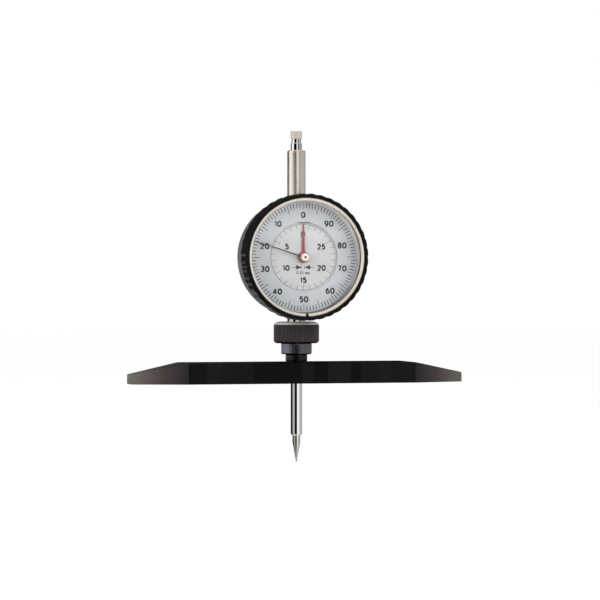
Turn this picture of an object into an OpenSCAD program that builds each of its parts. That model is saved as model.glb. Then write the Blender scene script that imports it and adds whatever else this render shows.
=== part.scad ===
// Bridge-type dial depth gauge: an indicator with a needle contact point, held by its stem in a
// knurled clamp on a long tapered base bar. Sizes are in millimetres. The origin is where the stem
// axis meets the measuring face under the bar; X runs along the bar, -Y is the dial side, Z is up.

/* [Base bar] */
// Length of the bar
bar_len = 150; // [120:1:200]
// Width of the bar in its middle, front to back
bar_depth = 25; // [22:0.5:34]
// Height of the bar in its middle
bar_h = 9.1; // [7:0.1:13]
// Height of the bar at its ends
bar_end_h = 4.25; // [3:0.25:6]
// Width of the bar at its ends
bar_end_depth = 8; // [6:0.5:20]
// Length of the tapered stretch at each end
bar_taper = 24; // [14:0.5:36]
// Chamfer along the measuring face
bar_edge = 0.3; // [0.1:0.1:0.6]

/* [Clamp] */
// Height of the thin neck above the bar
neck_h = 3.5; // [2:0.1:8]
// Wall of the neck
neck_wall = 0.75; // [0.6:0.05:1.5]
// Depth that the neck is pressed into the bar
neck_seat = 6.5; // [3:0.5:6.5]
// Height of the collar under the nut
collar_h = 4.7; // [3:0.1:8]
// How far the collar stands out past its threaded spigot
collar_lip = 0.72; // [0.4:0.02:2]
// Wall of the threaded spigot
spigot_wall = 0.75; // [0.5:0.05:1.2]
// Wall of the collet
collet_wall = 1.2; // [0.9:0.05:1.6]
// Width of each slot in the collet
collet_slot = 0.8; // [0.4:0.1:1.4]
// Outer diameter of the knurled nut
nut_d = 20; // [19:0.5:28]
// Height of the nut
nut_h = 9.6; // [8.5:0.1:14]
// Long chamfer on top of the nut, measured inwards
nut_chamfer = 2; // [0.5:0.1:2.6]
// Number of ribs round the nut
nut_ribs = 72; // [36:1:90]
// Depth of the grooves between the ribs
nut_rib_depth = 0.3; // [0.15:0.05:0.5]

/* [Stem and plunger] */
// Diameter of the clamping stem and of the guide tube
stem_d = 8; // [7.5:0.1:10]
// Length of the stem below the case
stem_len = 27; // [24:0.5:30]
// Stem that shows between nut and bezel
stem_show = 0.6; // [0.4:0.1:6]
// Height of the guide tube above the case
tube_len = 22.5; // [14:0.5:40]
// Diameter of the plunger
plunger_d = 5; // [4.6:0.1:5.6]
// Wall of the bushes that guide the plunger
bush_wall = 0.47; // [0.3:0.01:0.6]
// Length of each bush
bush_len = 5; // [3:0.5:8]
// Travel of the plunger
travel = 30; // [20:0.5:30]
// Plunger that shows above the guide tube at rest
plunger_show = 3.2; // [1:0.1:8]
// Distance from the measuring face to the plunger's lower end at rest
plunger_out = 22.8; // [18:0.1:26]

/* [Cap and contact point] */
// Diameter of the plunger's knurled cap
cap_d = 5.2; // [5:0.1:7]
// Height of the cap's knurled head
cap_head = 3.8; // [2:0.1:8]
// Diameter of the groove under the head
groove_d = 4.1; // [3.4:0.1:4.4]
// Height of that groove
groove_h = 1.6; // [1:0.1:3]
// Diameter of the contact point's body
point_d = 3.5; // [3:0.1:4.4]
// Height of its straight body
point_body = 3.1; // [1:0.1:6]
// Length of its needle cone
point_cone = 8.2; // [4:0.1:14]
// Diameter of the ball at its tip
ball_d = 0.8; // [0.6:0.1:1.4]

/* [Case] */
// Outer diameter of the case
case_d = 49; // [48.5:0.1:54]
// Wall of the case
case_wall = 1.6; // [1.2:0.1:1.8]
// Space between the plunger and the back cover
back_room = 2.5; // [2.3:0.1:5]
// Thickness of the back cover
cover_t = 1.5; // [1:0.1:2.5]
// Space between the front plate and the front edge of the case
dial_room = 2.6; // [1.6:0.1:5]

/* [Bezel and dial] */
// Depth of the bezel's skirt over the case
bezel_skirt = 1.8; // [1.6:0.1:3]
// Height of the sloped ring between dial and crystal
slope_h = 4.5; // [4.1:0.1:8]
// Thickness of the crystal
crystal_t = 1; // [0.6:0.1:1.4]
// Step from the case out to the dial's seat
seat_step = 0.6; // [0.5:0.05:1.2]
// Width of the split ring's flange
ring_flange = 0.78; // [0.4:0.02:1.4]
// Gap of the split ring
ring_gap = 1.4; // [0.6:0.1:3]
// Width of the bezel's black rim outside the split ring
rim_w = 1.72; // [1.2:0.02:3]
// Number of scallops round the bezel
scallops = 40; // [24:1:48]
// Depth of each scallop
scallop_depth = 0.3; // [0.1:0.05:0.6]
// Radius of the hole in the outer dial
dial_hole_r = 15; // [12:0.1:16]
// Thickness of the outer dial
dial_t = 0.5; // [0.3:0.05:0.8]
// Distance from the inner dial's centre to its flat
flat_r = 14.5; // [11:0.1:14.8]

/* [Hands] */
// Length of the long hand from its centre
long_hand = 22.4; // [18:0.1:23]
// Length of the short hand from its centre
short_hand = 14.3; // [8:0.1:14.5]
// Angle of the long hand at rest, anti-clockwise from twelve
long_rest = 72; // [0:1:359]
// Radius of the long hand's hub
long_hub_r = 2; // [1.6:0.1:3]
// Radius of the short hand's hub
short_hub_r = 2.2; // [1.6:0.1:3.5]
// Radius of the pale cap over the hubs
hub_cap_r = 1.7; // [1.2:0.1:2.4]

/* [Hidden] */
$fn = 96;

// Clearances
eps = 0.01;            // overrun of a cut past the face it opens
run_fit = 0.05;        // radial clearance of pieces that turn in each other
slide_fit = 0.03;      // radial clearance of pieces that slide in each other
air = 0.15;            // gap between faces that pass without touching
pivot_fit = 0.02;      // radial clearance of an arbor in its bush

// Clamp, from the stem outwards and from the bar upwards
stem_r = stem_d / 2;
neck_bore_r = stem_r + run_fit;
neck_r = neck_bore_r + neck_wall;
neck_z = bar_h - neck_seat;
collar_z = bar_h + neck_h;
nut_seat_z = collar_z + collar_h;
collet_bore_r = stem_r + slide_fit;
collet_r = collet_bore_r + collet_wall;
spigot_bore_r = collet_r + run_fit;
spigot_r = spigot_bore_r + spigot_wall;
collar_r = spigot_r + collar_lip;
nut_bore_r = spigot_r + run_fit;
nut_r = nut_d / 2;
nut_lip = 1.4;         // land above the nut's cone
cone_h = 2.8;          // height of the clamping cone
cone_in = 0.7;         // how far the cone closes in
nut_z = nut_seat_z + air;
nut_top = nut_seat_z + nut_h;
cone_top = nut_top - nut_lip;
cone_z = cone_top - cone_h;
spigot_top = cone_z - 2 * air;
collet_foot = 2.4;     // floor of the socket, up from the collar's lower face
collet_z = collar_z + collet_foot;
collet_slots = 4;
neck_groove_h = 0.5;
neck_groove = 0.25;
nut_foot = 0.9;        // lower chamfer of the nut

// Distances in front of the stem axis, from the back cover to the rim of the bezel
plunger_r = plunger_d / 2;
case_r = case_d / 2;
case_in_r = case_r - case_wall;
case_back = -(plunger_r + back_room);
cover_back = case_back - cover_t;
plate_y = plunger_r + 0.5;
plate_t = 1;
plate_front = plate_y + plate_t;
wheel_t = 0.5;
wheel_y = plate_front + 0.5;
coil_y = wheel_y + wheel_t + 0.4;
coil_t = 0.4;
count_y = coil_y + coil_t + 0.4;
bridge_y = count_y + wheel_t + 0.9;
bridge_t = 0.8;
bridge_front = bridge_y + bridge_t;
case_front = bridge_front + dial_room;
lip_y = case_front + 0.2;
lip_t = 0.7;
dial_back = lip_y + lip_t;
dial_front = dial_back + dial_t;
inner_front = dial_back - 0.2;
inner_t = 0.4;
inner_back = inner_front - inner_t;
crystal_y = dial_front + slope_h;
ring_y = crystal_y + crystal_t;
ring_seat = 0.4;       // stretch of the split ring inside the crystal's bore
ring_t = 1.4;
bezel_front = ring_y + ring_t + 0.6;
bezel_back = case_front - bezel_skirt;
short_y = dial_front - 0.1;
hand_t = 0.2;
long_y = short_y + hand_t + 0.6;
cap_y = long_y + hand_t;
cap_end = crystal_y - 0.9;

// Radii of the bezel
bezel_bore_r = case_r + run_fit;
seat_r = case_r + seat_step;
ring_r = seat_r + ring_flange;
bezel_r = ring_r + rim_w;
ring_in_r = seat_r - 0.7;
slope_out_r = ring_in_r + 0.1;
slope_in_r = slope_out_r - 0.95;
lip_r = slope_in_r - 0.5;
wire_r = 0.32;
wire_y = (bezel_back + case_front) / 2;
wire_room = 0.08;
snap_gap = 4;          // gap of the snap wire, at six o'clock
inner_dial_r = dial_hole_r + 1.2;
scallop_r = 3.2;

// Heights along the stem
dial_z = nut_top + stem_show + bezel_r;
case_bottom = dial_z - case_r;
case_top = dial_z + case_r;
stem_end = case_bottom - stem_len;
tube_top = case_top + tube_len;
sink = 1.4;            // stretch of stem and tube inside the case
bush_r = plunger_r + slide_fit + bush_wall;
plunger_end = -plunger_out;
thread_r = 1.25;       // threads of cap and contact point in the plunger
thread_len = 4;
screw_play = 0.5;
plunger_top = tube_top + plunger_show;

// Gear train: the rack moves its pinion one turn in ten millimetres of travel
wheel_m = 0.2;
wheel_teeth = 100;
pinion_teeth = 10;
count_m = 0.25;
count_teeth = 66;
count_pinion_teeth = 22;
rack_teeth_per_turn = 16;
rack_pitch = 10 / rack_teeth_per_turn;
rack_m = rack_pitch / PI;
rack_pinion_r = rack_m * rack_teeth_per_turn / 2;
centres = wheel_m * (wheel_teeth + pinion_teeth) / 2;
rack_line = plunger_r - 0.6;
rack_x = -(rack_line + rack_pinion_r);
rack_h = sqrt(centres * centres - rack_x * rack_x);
arbor_r = 0.5;
pivot_bush_r = 1.2;
pipe_in_r = arbor_r + 0.05;
pipe_r = pipe_in_r + 0.4;
pipe_bush_r = pipe_r + 0.8;
rack_at = [rack_x, rack_h];
hair_at = [-rack_x, -rack_h];
mesh_angle = atan2(rack_h, rack_x);
bridge_gap = 0.4;      // between plunger and rear bridge
rear_y = -(plunger_r + bridge_gap);
rear_t = 0.8;

// Pillars and screws, as angles round the dial axis
pillar_ring = 16;
pillar_angles = [5, 55, 185, 235];
pillar_r = 1.5;
pillar_pin_r = 0.8;
plate_margin = 2.4;    // front plate past the pillars
thread_play = 0.4;     // drilled depth past the end of each screw
notch_gap = 0.5;
dial_foot_r = 0.6;
stud_r = 0.5;
post_out = 4.2;        // rear bridge, from the rack pinion to its posts
post_half = 4;
post_r = 1.2;
case_screw_angles = [30, 170, 210, 350];
ledge_w = 2.2;
ledge_t = 1.5;
case_screw_ring = case_in_r - ledge_w / 2;
lug_r = 2;
lug_ring = case_in_r - 1.3;
lug_h = 3.5;
cover_screw_angles = [45, 135, 225, 315];
screw_r = 0.7;
screw_in = 1.8;        // thread in the piece that a screw holds
screw_head_r = 1.3;
screw_head_h = 0.6;
small_screw_r = 0.6;
small_head_r = 1;
small_head_h = 0.5;
small_screw_in = 1.2;
head_room = 0.1;       // round and under a sunk head

// Guide pin, rail and return spring, behind the main plate
pin_r = 0.6;
rail_x = plunger_r + 1.9;
rail_t = 1.4;
rail_w = 2.4;          // half width of the rail
rail_end = 1.6;        // rail past the slot at its upper end
rail_foot = 2;         // rail past the slot at its lower end
rail_gap = 0.95;       // between the rail's upper end and the case
rail_screw_in = 0.9;   // screws from the rail's ends
rail_screw_r = 0.4;    // thread in the rail
rail_screw_len = 1.9;
rail_high = dial_z + sqrt(pow(case_in_r, 2) - pow(rail_x + rail_t, 2)) - rail_gap;
pin_z = rail_high - rail_end - pin_r - travel;
rail_low = pin_z - pin_r - rail_foot;
slot_gap = 0.05;
spring_coil_r = 1.2;
spring_wire_r = 0.2;
spring_x = rail_x + rail_t + 2 * spring_coil_r;
anchor_r = 0.7;
anchor_gap = 0.5;      // between anchor post and case
anchor_behind = 1.5;   // how far the post stands behind the stem axis
anchor_z = dial_z - sqrt(pow(case_in_r, 2) - pow(spring_x + anchor_r, 2)) + anchor_r + anchor_gap;
pin_end = spring_x + spring_coil_r + 2 * spring_wire_r;
ledge_gap = spring_x + anchor_r + anchor_gap;

// ---------------------------------------------------------------- shared shapes

// Frame of the dial: x to the right, y up, z towards the reader of the dial
module dial_axis() {
    translate([0, 0, dial_z]) rotate([90, 0, 0]) children();
}

module tube(r_out, r_in, z0, z1) {
    translate([0, 0, z0]) difference() {
        cylinder(r = r_out, h = z1 - z0);
        translate([0, 0, -eps]) cylinder(r = r_in, h = z1 - z0 + 2 * eps);
    }
}

module rod(r, z0, z1, sides = 96) {
    translate([0, 0, z0]) cylinder(r = r, h = z1 - z0, $fn = sides);
}

// Copies at equal or listed angles on a ring
module on_ring(radius, angles) {
    for (a = angles) rotate([0, 0, a]) translate([radius, 0, 0]) children();
}

// Slotted cheese-head screw, its head from z = 0 upwards and its shank below
module screw(head_r, head_h, shank_r, shank_h) {
    difference() {
        union() {
            rod(head_r, 0, head_h, 48);
            rod(shank_r, -shank_h, eps, 32);
        }
        translate([-head_r, -0.15, head_h * 0.55]) cube([2 * head_r, 0.3, head_h]);
    }
}

function polar(r, a) = [r * cos(a), r * sin(a)];

// Outline of a wheel with straight-flanked teeth; a tooth is centred on the +x direction
function gear_outline(teeth, m) = [
    for (i = [0:teeth - 1], k = [0:3])
        let (
            pitch = 360 / teeth,
            rp = teeth * m / 2,
            root = rp - 1.15 * m,
            tip = rp + 0.8 * m,
            part = [-0.30, -0.11, 0.11, 0.30][k]
        )
        polar(k == 0 || k == 3 ? root : tip, (i + part) * pitch)
];

module gear(teeth, m, thick, turn = 0) {
    rotate([0, 0, turn]) linear_extrude(thick) polygon(gear_outline(teeth, m));
}

// Wheel with round lightening holes and a bore
module wheel(teeth, m, thick, bore_r, turn = 0) {
    rp = teeth * m / 2;
    hole_r = rp * 0.24;
    difference() {
        gear(teeth, m, thick, turn);
        translate([0, 0, -eps]) cylinder(r = bore_r, h = thick + 2 * eps);
        translate([0, 0, -eps]) on_ring(rp * 0.56, [0:72:288])
            cylinder(r = hole_r, h = thick + 2 * eps);
    }
}

// Ribbed disc: a cylinder with V grooves parallel to its axis
module ribbed(r, depth, ribs, h) {
    linear_extrude(h) polygon([
        for (i = [0:ribs - 1], k = [0:2])
            polar(k == 0 ? r - depth : r, (i + [0, 0.34, 0.66][k]) * 360 / ribs)
    ]);
}

// Hand: a tapered blade from the hub to its tip, pointing along +y
module hand(hub_r, bore_r, length, root_w, tip_w, thick) {
    linear_extrude(thick) difference() {
        union() {
            circle(r = hub_r);
            polygon([[-root_w / 2, 0], [root_w / 2, 0], [tip_w / 2, length], [-tip_w / 2, length]]);
        }
        circle(r = bore_r);
    }
}

// ---------------------------------------------------------------- base and clamp

module bar_blank() {
    half = bar_len / 2;
    flat = half - bar_taper;
    intersection() {
        // front view: both ends slope down
        translate([0, bar_depth / 2, 0]) rotate([90, 0, 0]) linear_extrude(bar_depth) polygon([
            [-half + bar_edge, 0], [half - bar_edge, 0], [half, bar_edge], [half, bar_end_h],
            [flat, bar_h], [-flat, bar_h], [-half, bar_end_h], [-half, bar_edge]
        ]);
        // plan view: both ends narrow
        linear_extrude(bar_h) polygon([
            [-half, -bar_end_depth / 2], [-flat, -bar_depth / 2], [flat, -bar_depth / 2],
            [half, -bar_end_depth / 2], [half, bar_end_depth / 2], [flat, bar_depth / 2],
            [-flat, bar_depth / 2], [-half, bar_end_depth / 2]
        ]);
    }
}

module base_bar() {
    color([0.1, 0.1, 0.11]) difference() {
        bar_blank();
        rod(stem_r + 0.3, -eps, bar_h + eps);
        rod(neck_r, neck_z, bar_h + eps);
    }
}

module clamp_socket() {
    color([0.2, 0.2, 0.23]) difference() {
        union() {
            rod(neck_r, neck_z, collar_z + eps);
            rod(collar_r, collar_z, nut_seat_z);
            rod(spigot_r, nut_seat_z - eps, spigot_top);
        }
        rod(neck_bore_r, neck_z - eps, collet_z);
        rod(spigot_bore_r, collet_z - air, spigot_top + eps);
        // relief groove where the neck leaves the bar
        tube(neck_r + eps, neck_r - neck_groove, bar_h, bar_h + neck_groove_h);
        // lower edge of the collar
        translate([0, 0, collar_z]) rotate_extrude() polygon([
            [collar_r - 0.4, -eps], [collar_r + eps, -eps], [collar_r + eps, 0.4]
        ]);
    }
}

module collet() {
    color([0.55, 0.55, 0.57]) difference() {
        union() {
            rod(collet_r, collet_z, cone_z);
            translate([0, 0, cone_z - eps])
                cylinder(r1 = collet_r, r2 = collet_r - cone_in, h = cone_h - air);
        }
        rod(collet_bore_r, collet_z - eps, cone_top);
        for (i = [0:collet_slots - 1]) rotate([0, 0, 45 + i * 360 / collet_slots])
            translate([collet_bore_r - 0.5, -collet_slot / 2, collet_z + 1.5])
                cube([collet_r, collet_slot, cone_top - collet_z]);
    }
}

module clamp_nut() {
    top_drop = nut_chamfer * 0.72;
    color([0.17, 0.16, 0.16]) difference() {
        intersection() {
            translate([0, 0, nut_z]) ribbed(nut_r, nut_rib_depth, nut_ribs, nut_h - air);
            rotate_extrude() polygon([
                [0, nut_z], [nut_r - nut_foot, nut_z], [nut_r + eps, nut_z + nut_foot + eps],
                [nut_r + eps, nut_top - top_drop - eps], [nut_r - nut_chamfer, nut_top], [0, nut_top]
            ]);
        }
        rod(nut_bore_r, nut_z - eps, cone_z);
        translate([0, 0, cone_z - eps])
            cylinder(r1 = collet_r + air, r2 = collet_r - cone_in + air, h = cone_h + 2 * eps);
        rod(stem_r + 0.3, cone_top, nut_top + eps);
    }
}

// ---------------------------------------------------------------- case

module case() {
    color([0.36, 0.36, 0.37]) difference() {
        dial_axis() difference() {
            union() {
                tube(case_r, case_in_r, case_back, case_front);
                // ledge for the main plate, left open round stem, guide tube and rail
                difference() {
                    tube(case_in_r + 0.2, case_in_r - ledge_w, plate_y - ledge_t, plate_y);
                    translate([-ledge_gap, -case_r, plate_y - ledge_t - eps])
                        cube([2 * ledge_gap, 2 * case_r, ledge_t + 2 * eps]);
                }
                intersection() {
                    on_ring(lug_ring, cover_screw_angles) rod(lug_r, case_back, case_back + lug_h);
                    rod(case_in_r + 0.2, case_back, case_back + lug_h);
                }
            }
            // groove for the bezel's snap wire
            tube(case_r + eps, case_r - wire_r - wire_room,
                 wire_y - wire_r - wire_room, wire_y + wire_r + wire_room);
            on_ring(lug_ring, cover_screw_angles)
                rod(screw_r, case_back - eps, case_back + screw_in + 2 * thread_play);
            on_ring(case_screw_ring, case_screw_angles)
                rod(small_screw_r, plate_y - ledge_t - eps, plate_y + eps);
        }
        rod(stem_r, case_bottom - eps, case_top + eps);
    }
}

module back_cover() {
    r = case_r - 0.2;
    color([0.33, 0.33, 0.34]) dial_axis() difference() {
        rotate_extrude() polygon([
            [0, cover_back], [r - 0.6, cover_back], [r, cover_back + 0.6], [r, case_back], [0, case_back]
        ]);
        on_ring(lug_ring, cover_screw_angles) rod(screw_r + 0.05, cover_back - eps, case_back + eps);
        on_ring(lug_ring, cover_screw_angles)
            rod(screw_head_r + 2 * head_room, cover_back - eps, cover_back + screw_head_h + head_room);
    }
}

module cover_screws() {
    color([0.7, 0.7, 0.72]) dial_axis() on_ring(lug_ring, cover_screw_angles)
        translate([0, 0, cover_back + screw_head_h + head_room]) mirror([0, 0, 1])
            screw(screw_head_r, screw_head_h, screw_r, cover_t - screw_head_h + screw_in);
}

module stem() {
    color([0.78, 0.76, 0.73]) difference() {
        rod(stem_r, stem_end, case_bottom + case_wall + sink);
        rod(bush_r, stem_end - eps, case_bottom + case_wall + sink + eps);
    }
}

module lower_bush() {
    color([0.72, 0.55, 0.3])
        tube(bush_r, plunger_r + slide_fit, stem_end + 0.2, stem_end + 0.2 + bush_len);
}

module guide_tube() {
    color([0.8, 0.77, 0.72]) difference() {
        rotate_extrude() polygon([
            [bush_r, case_top - case_wall - sink], [stem_r, case_top - case_wall - sink],
            [stem_r, tube_top - 0.5], [stem_r - 0.5, tube_top], [bush_r, tube_top]
        ]);
    }
}

module upper_bush() {
    color([0.72, 0.55, 0.3])
        tube(bush_r, plunger_r + slide_fit, tube_top - 0.3 - bush_len, tube_top - 0.3);
}

// ---------------------------------------------------------------- movement plates

module at_rack() { translate([rack_at[0], rack_at[1], 0]) children(); }
module at_hair() { translate([hair_at[0], hair_at[1], 0]) children(); }

module main_plate() {
    color([0.78, 0.66, 0.4]) dial_axis() difference() {
        rod(case_in_r - 0.1, plate_y, plate_front);
        // room for the inner ends of stem and guide tube
        for (s = [0, 180]) rotate([0, 0, s])
            translate([-stem_r - notch_gap, case_in_r - sink - 2 * notch_gap, plate_y - eps])
                cube([stem_d + 2 * notch_gap, case_r, plate_t + 2 * eps]);
        rod(pivot_bush_r, plate_y - eps, plate_front + eps);
        at_rack() rod(pivot_bush_r, plate_y - eps, plate_front + eps);
        at_hair() rod(pivot_bush_r, plate_y - eps, plate_front + eps);
        on_ring(pillar_ring, pillar_angles) rod(pillar_pin_r, plate_y - eps, plate_front + eps);
        on_ring(case_screw_ring, case_screw_angles)
            rod(small_screw_r + 0.05, plate_y - eps, plate_front + eps);
        rail_screw_places() rod(small_screw_r + 0.05, plate_y - eps, plate_front + eps);
    }
}

module case_screws() {
    color([0.7, 0.7, 0.72]) dial_axis() on_ring(case_screw_ring, case_screw_angles)
        translate([0, 0, plate_front])
            screw(small_head_r, small_head_h, small_screw_r, plate_t + small_screw_in);
}

module pillars() {
    color([0.78, 0.66, 0.4]) dial_axis() on_ring(pillar_ring, pillar_angles) difference() {
        union() {
            rod(pillar_r, plate_front, bridge_y, 48);
            rod(pillar_pin_r, plate_y, plate_front + eps, 48);
        }
        rod(screw_r, bridge_y - screw_in - thread_play, bridge_y + eps, 48);
    }
}

module front_plate() {
    color([0.3, 0.29, 0.28]) dial_axis() difference() {
        rod(pillar_ring + plate_margin, bridge_y, bridge_front);
        rod(pipe_bush_r, bridge_y - eps, bridge_front + eps);
        at_rack() rod(pivot_bush_r, bridge_y - eps, bridge_front + eps);
        at_hair() rod(pivot_bush_r, bridge_y - eps, bridge_front + eps);
        on_ring(pillar_ring, pillar_angles) rod(screw_r + 0.05, bridge_y - eps, bridge_front + eps);
        dial_feet_places() rod(dial_foot_r, bridge_y - eps, bridge_front + eps);
        stud_place() rod(stud_r, bridge_y - eps, bridge_front + eps);
    }
}

module plate_screws() {
    color([0.7, 0.7, 0.72]) dial_axis() on_ring(pillar_ring, pillar_angles)
        translate([0, 0, bridge_front]) screw(screw_head_r, screw_head_h, screw_r, bridge_t + screw_in);
}

// Rear bearing of the rack pinion, on two posts behind the main plate
module rear_bridge() {
    post_x = rack_x - post_out;
    color([0.78, 0.66, 0.4]) dial_axis() difference() {
        union() {
            hull() {
                at_rack() rod(pivot_bush_r * 1.6, rear_y - rear_t, rear_y, 32);
                for (s = [-1, 1]) translate([post_x, rack_h + s * post_half, 0])
                    rod(post_r * 1.25, rear_y - rear_t, rear_y, 32);
            }
            for (s = [-1, 1]) translate([post_x, rack_h + s * post_half, 0])
                rod(post_r, rear_y - rear_t / 4, plate_y);
        }
        at_rack() rod(pivot_bush_r, rear_y - rear_t - eps, rear_y + eps);
    }
}

module arbor_bushes() {
    bore = arbor_r + pivot_fit;
    color([0.72, 0.55, 0.3]) dial_axis() {
        tube(pivot_bush_r, bore, plate_y, plate_front);
        tube(pipe_bush_r, pipe_r + pivot_fit, bridge_y, bridge_front);
        at_rack() tube(pivot_bush_r, bore, plate_y, plate_front);
        at_rack() tube(pivot_bush_r, bore, bridge_y, bridge_front);
        at_rack() tube(pivot_bush_r, bore, rear_y - rear_t, rear_y);
        at_hair() tube(pivot_bush_r, bore, plate_y, plate_front);
        at_hair() tube(pivot_bush_r, bore, bridge_y, bridge_front);
    }
}

// ---------------------------------------------------------------- guide rail and return spring

module rail_screw_places() {
    for (z = [rail_low + rail_screw_in, rail_high - rail_screw_in])
        translate([rail_x + rail_t / 2, z - dial_z, 0]) children();
}

module guide_rail() {
    color([0.6, 0.6, 0.62]) difference() {
        translate([rail_x, -plate_y, rail_low]) cube([rail_t, plate_y + rail_w, rail_high - rail_low]);
        // slot that the guide pin slides in
        translate([rail_x - eps, -pin_r - slot_gap, pin_z - pin_r - slot_gap])
            cube([rail_t + 2 * eps, 2 * (pin_r + slot_gap), travel + 2 * (pin_r + slot_gap)]);
        dial_axis() rail_screw_places() rod(rail_screw_r, plate_y - rail_screw_len - air, plate_y + eps, 32);
    }
}

module rail_screws() {
    color([0.7, 0.7, 0.72]) dial_axis() rail_screw_places() {
        rod(1.5 * small_screw_r, plate_front, plate_front + rail_screw_r, 32);
        rod(small_screw_r, plate_y, plate_front + eps, 32);
        rod(rail_screw_r, plate_y - rail_screw_len, plate_y + eps, 32);
    }
}

module guide_pin() {
    color([0.75, 0.75, 0.78]) translate([0, 0, pin_z]) rotate([0, 90, 0]) rod(pin_r, 0, pin_end, 48);
}

module spring_anchor() {
    color([0.7, 0.7, 0.72]) translate([spring_x, 0, anchor_z]) rotate([90, 0, 0])
        rod(anchor_r, -anchor_behind, plate_y, 48);
}

// Sweep a round wire of six sides along a list of points, carrying its cross-section on from
// each point to the next without a twist; first is a direction across the path at its start
function unit(v) = v / norm(v);
function tangent(p, i) = unit(p[min(i + 1, len(p) - 1)] - p[max(i - 1, 0)]);
function carried(u, t) = unit(u - (u * t) * t);

module wire(p, r, first, sides = 6) {
    n = len(p);
    sideways = [for (i = 0, u = first; i < n; i = i + 1, u = carried(u, tangent(p, min(i, n - 1)))) u];
    rings = [for (i = [0:n - 1])
        let (t = tangent(p, i), u = sideways[i], v = cross(t, u))
        for (k = [0:sides - 1]) p[i] + r * (cos(k * 360 / sides) * u + sin(k * 360 / sides) * v)];
    walls = [for (i = [0:n - 2], k = [0:sides - 1])
        let (a = i * sides + k, b = i * sides + (k + 1) % sides)
        [a, a + sides, b + sides, b]];
    caps = [[for (k = [0:sides - 1]) k], [for (k = [sides - 1:-1:0]) (n - 1) * sides + k]];
    polyhedron(points = rings, faces = concat(walls, caps));
}

// Extension spring: a close helix between two hooks, one round the anchor post and one round
// the guide pin
module return_spring() {
    turns = 11.25;
    steps = 12;
    last = turns * steps;
    low_hook = anchor_r + spring_wire_r + air;
    high_hook = pin_r + spring_wire_r + air;
    low = anchor_z + low_hook + 3 * spring_wire_r;
    high = pin_z - high_hook - 3 * spring_wire_r;
    points = concat(
        [for (a = [-180:30:30]) [spring_x + low_hook * cos(a), 0, anchor_z + low_hook * sin(a)]],
        [for (i = [0:last])
            [spring_x + spring_coil_r * cos(i * 360 / steps),
             spring_coil_r * sin(i * 360 / steps),
             low + (high - low) * i / last]],
        [for (a = [-30:30:180]) [spring_x, high_hook * cos(a), pin_z + high_hook * sin(a)]]
    );
    color([0.62, 0.63, 0.66]) wire(points, spring_wire_r, [0, 1, 0]);
}

// ---------------------------------------------------------------- hairspring

hair_turns = 5;
hair_steps = 30;
hair_in_r = 1.35;
hair_out_r = 5.6;
hair_w = 0.12;

function hair_point(i, side) =
    polar(hair_in_r + (hair_out_r - hair_in_r) * i / (hair_turns * hair_steps) + side * hair_w / 2,
          i * 360 / hair_steps);

module hairspring() {
    n = hair_turns * hair_steps;
    color([0.35, 0.4, 0.62]) dial_axis() at_hair() translate([0, 0, coil_y]) linear_extrude(coil_t)
        polygon(concat(
            [for (i = [0:n]) hair_point(i, 1)],
            [for (i = [n:-1:0]) hair_point(i, -1)]
        ));
}

module stud_place() {
    at_hair() translate([hair_out_r + hair_w / 2 + stud_r, 0, 0]) children();
}

module hairspring_stud() {
    color([0.7, 0.7, 0.72]) dial_axis() stud_place() rod(stud_r, coil_y - head_room, bridge_front, 32);
}

// ---------------------------------------------------------------- dials

module dial_feet_places() {
    for (s = [-1, 1]) translate([s * dial_hole_r * 0.74, 0, 0]) children();
}

module inner_dial() {
    color([0.8, 0.8, 0.8]) dial_axis() {
        difference() {
            rod(inner_dial_r, inner_back, inner_front);
            rod(pipe_r + 0.4, inner_back - eps, inner_front + eps);
            translate([-inner_dial_r, flat_r, inner_back - eps])
                cube([2 * inner_dial_r, inner_dial_r, inner_t + 2 * eps]);
        }
        dial_feet_places() rod(dial_foot_r, bridge_y, inner_back + eps, 32);
    }
}

module outer_dial() {
    color([0.8, 0.82, 0.84]) dial_axis() tube(seat_r, dial_hole_r, dial_back, dial_front);
}

// ---------------------------------------------------------------- bezel

module bezel() {
    groove = wire_r + wire_room;
    color([0.07, 0.07, 0.07]) dial_axis() difference() {
        rotate_extrude() polygon([
            [bezel_bore_r, bezel_back], [bezel_r - 0.4, bezel_back], [bezel_r, bezel_back + 0.4],
            [bezel_r, bezel_front - 0.7], [bezel_r - 0.25, bezel_front - 0.2],
            [bezel_r - 0.8, bezel_front], [ring_r + 0.15, bezel_front], [ring_r, bezel_front - 0.2],
            [ring_r, ring_y + ring_seat], [seat_r, ring_y + ring_seat], [seat_r, dial_back],
            [lip_r, dial_back], [lip_r, lip_y], [bezel_bore_r, lip_y]
        ]);
        tube(bezel_bore_r + groove, bezel_bore_r - eps, wire_y - groove, wire_y + groove);
        for (i = [0:scallops - 1]) rotate([0, 0, i * 360 / scallops])
            translate([bezel_r + scallop_r - scallop_depth, 0, bezel_back - eps])
                cylinder(r = scallop_r, h = bezel_front - bezel_back + 2 * eps, $fn = 48);
    }
}

module snap_wire() {
    color([0.7, 0.7, 0.72]) dial_axis() difference() {
        rotate_extrude() translate([bezel_bore_r - 0.02, wire_y]) circle(r = wire_r, $fn = 24);
        translate([-snap_gap / 2, -bezel_r, wire_y - 2 * wire_r])
            cube([snap_gap, bezel_r - case_in_r, 4 * wire_r]);
    }
}

module slope_ring() {
    color([0.66, 0.63, 0.58]) dial_axis() rotate_extrude() polygon([
        [seat_r, dial_front], [slope_in_r, dial_front], [slope_out_r, crystal_y], [seat_r, crystal_y]
    ]);
}

module crystal() {
    color([0.9, 0.95, 1, 0.25]) dial_axis() rod(seat_r, crystal_y, ring_y, 128);
}

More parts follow.
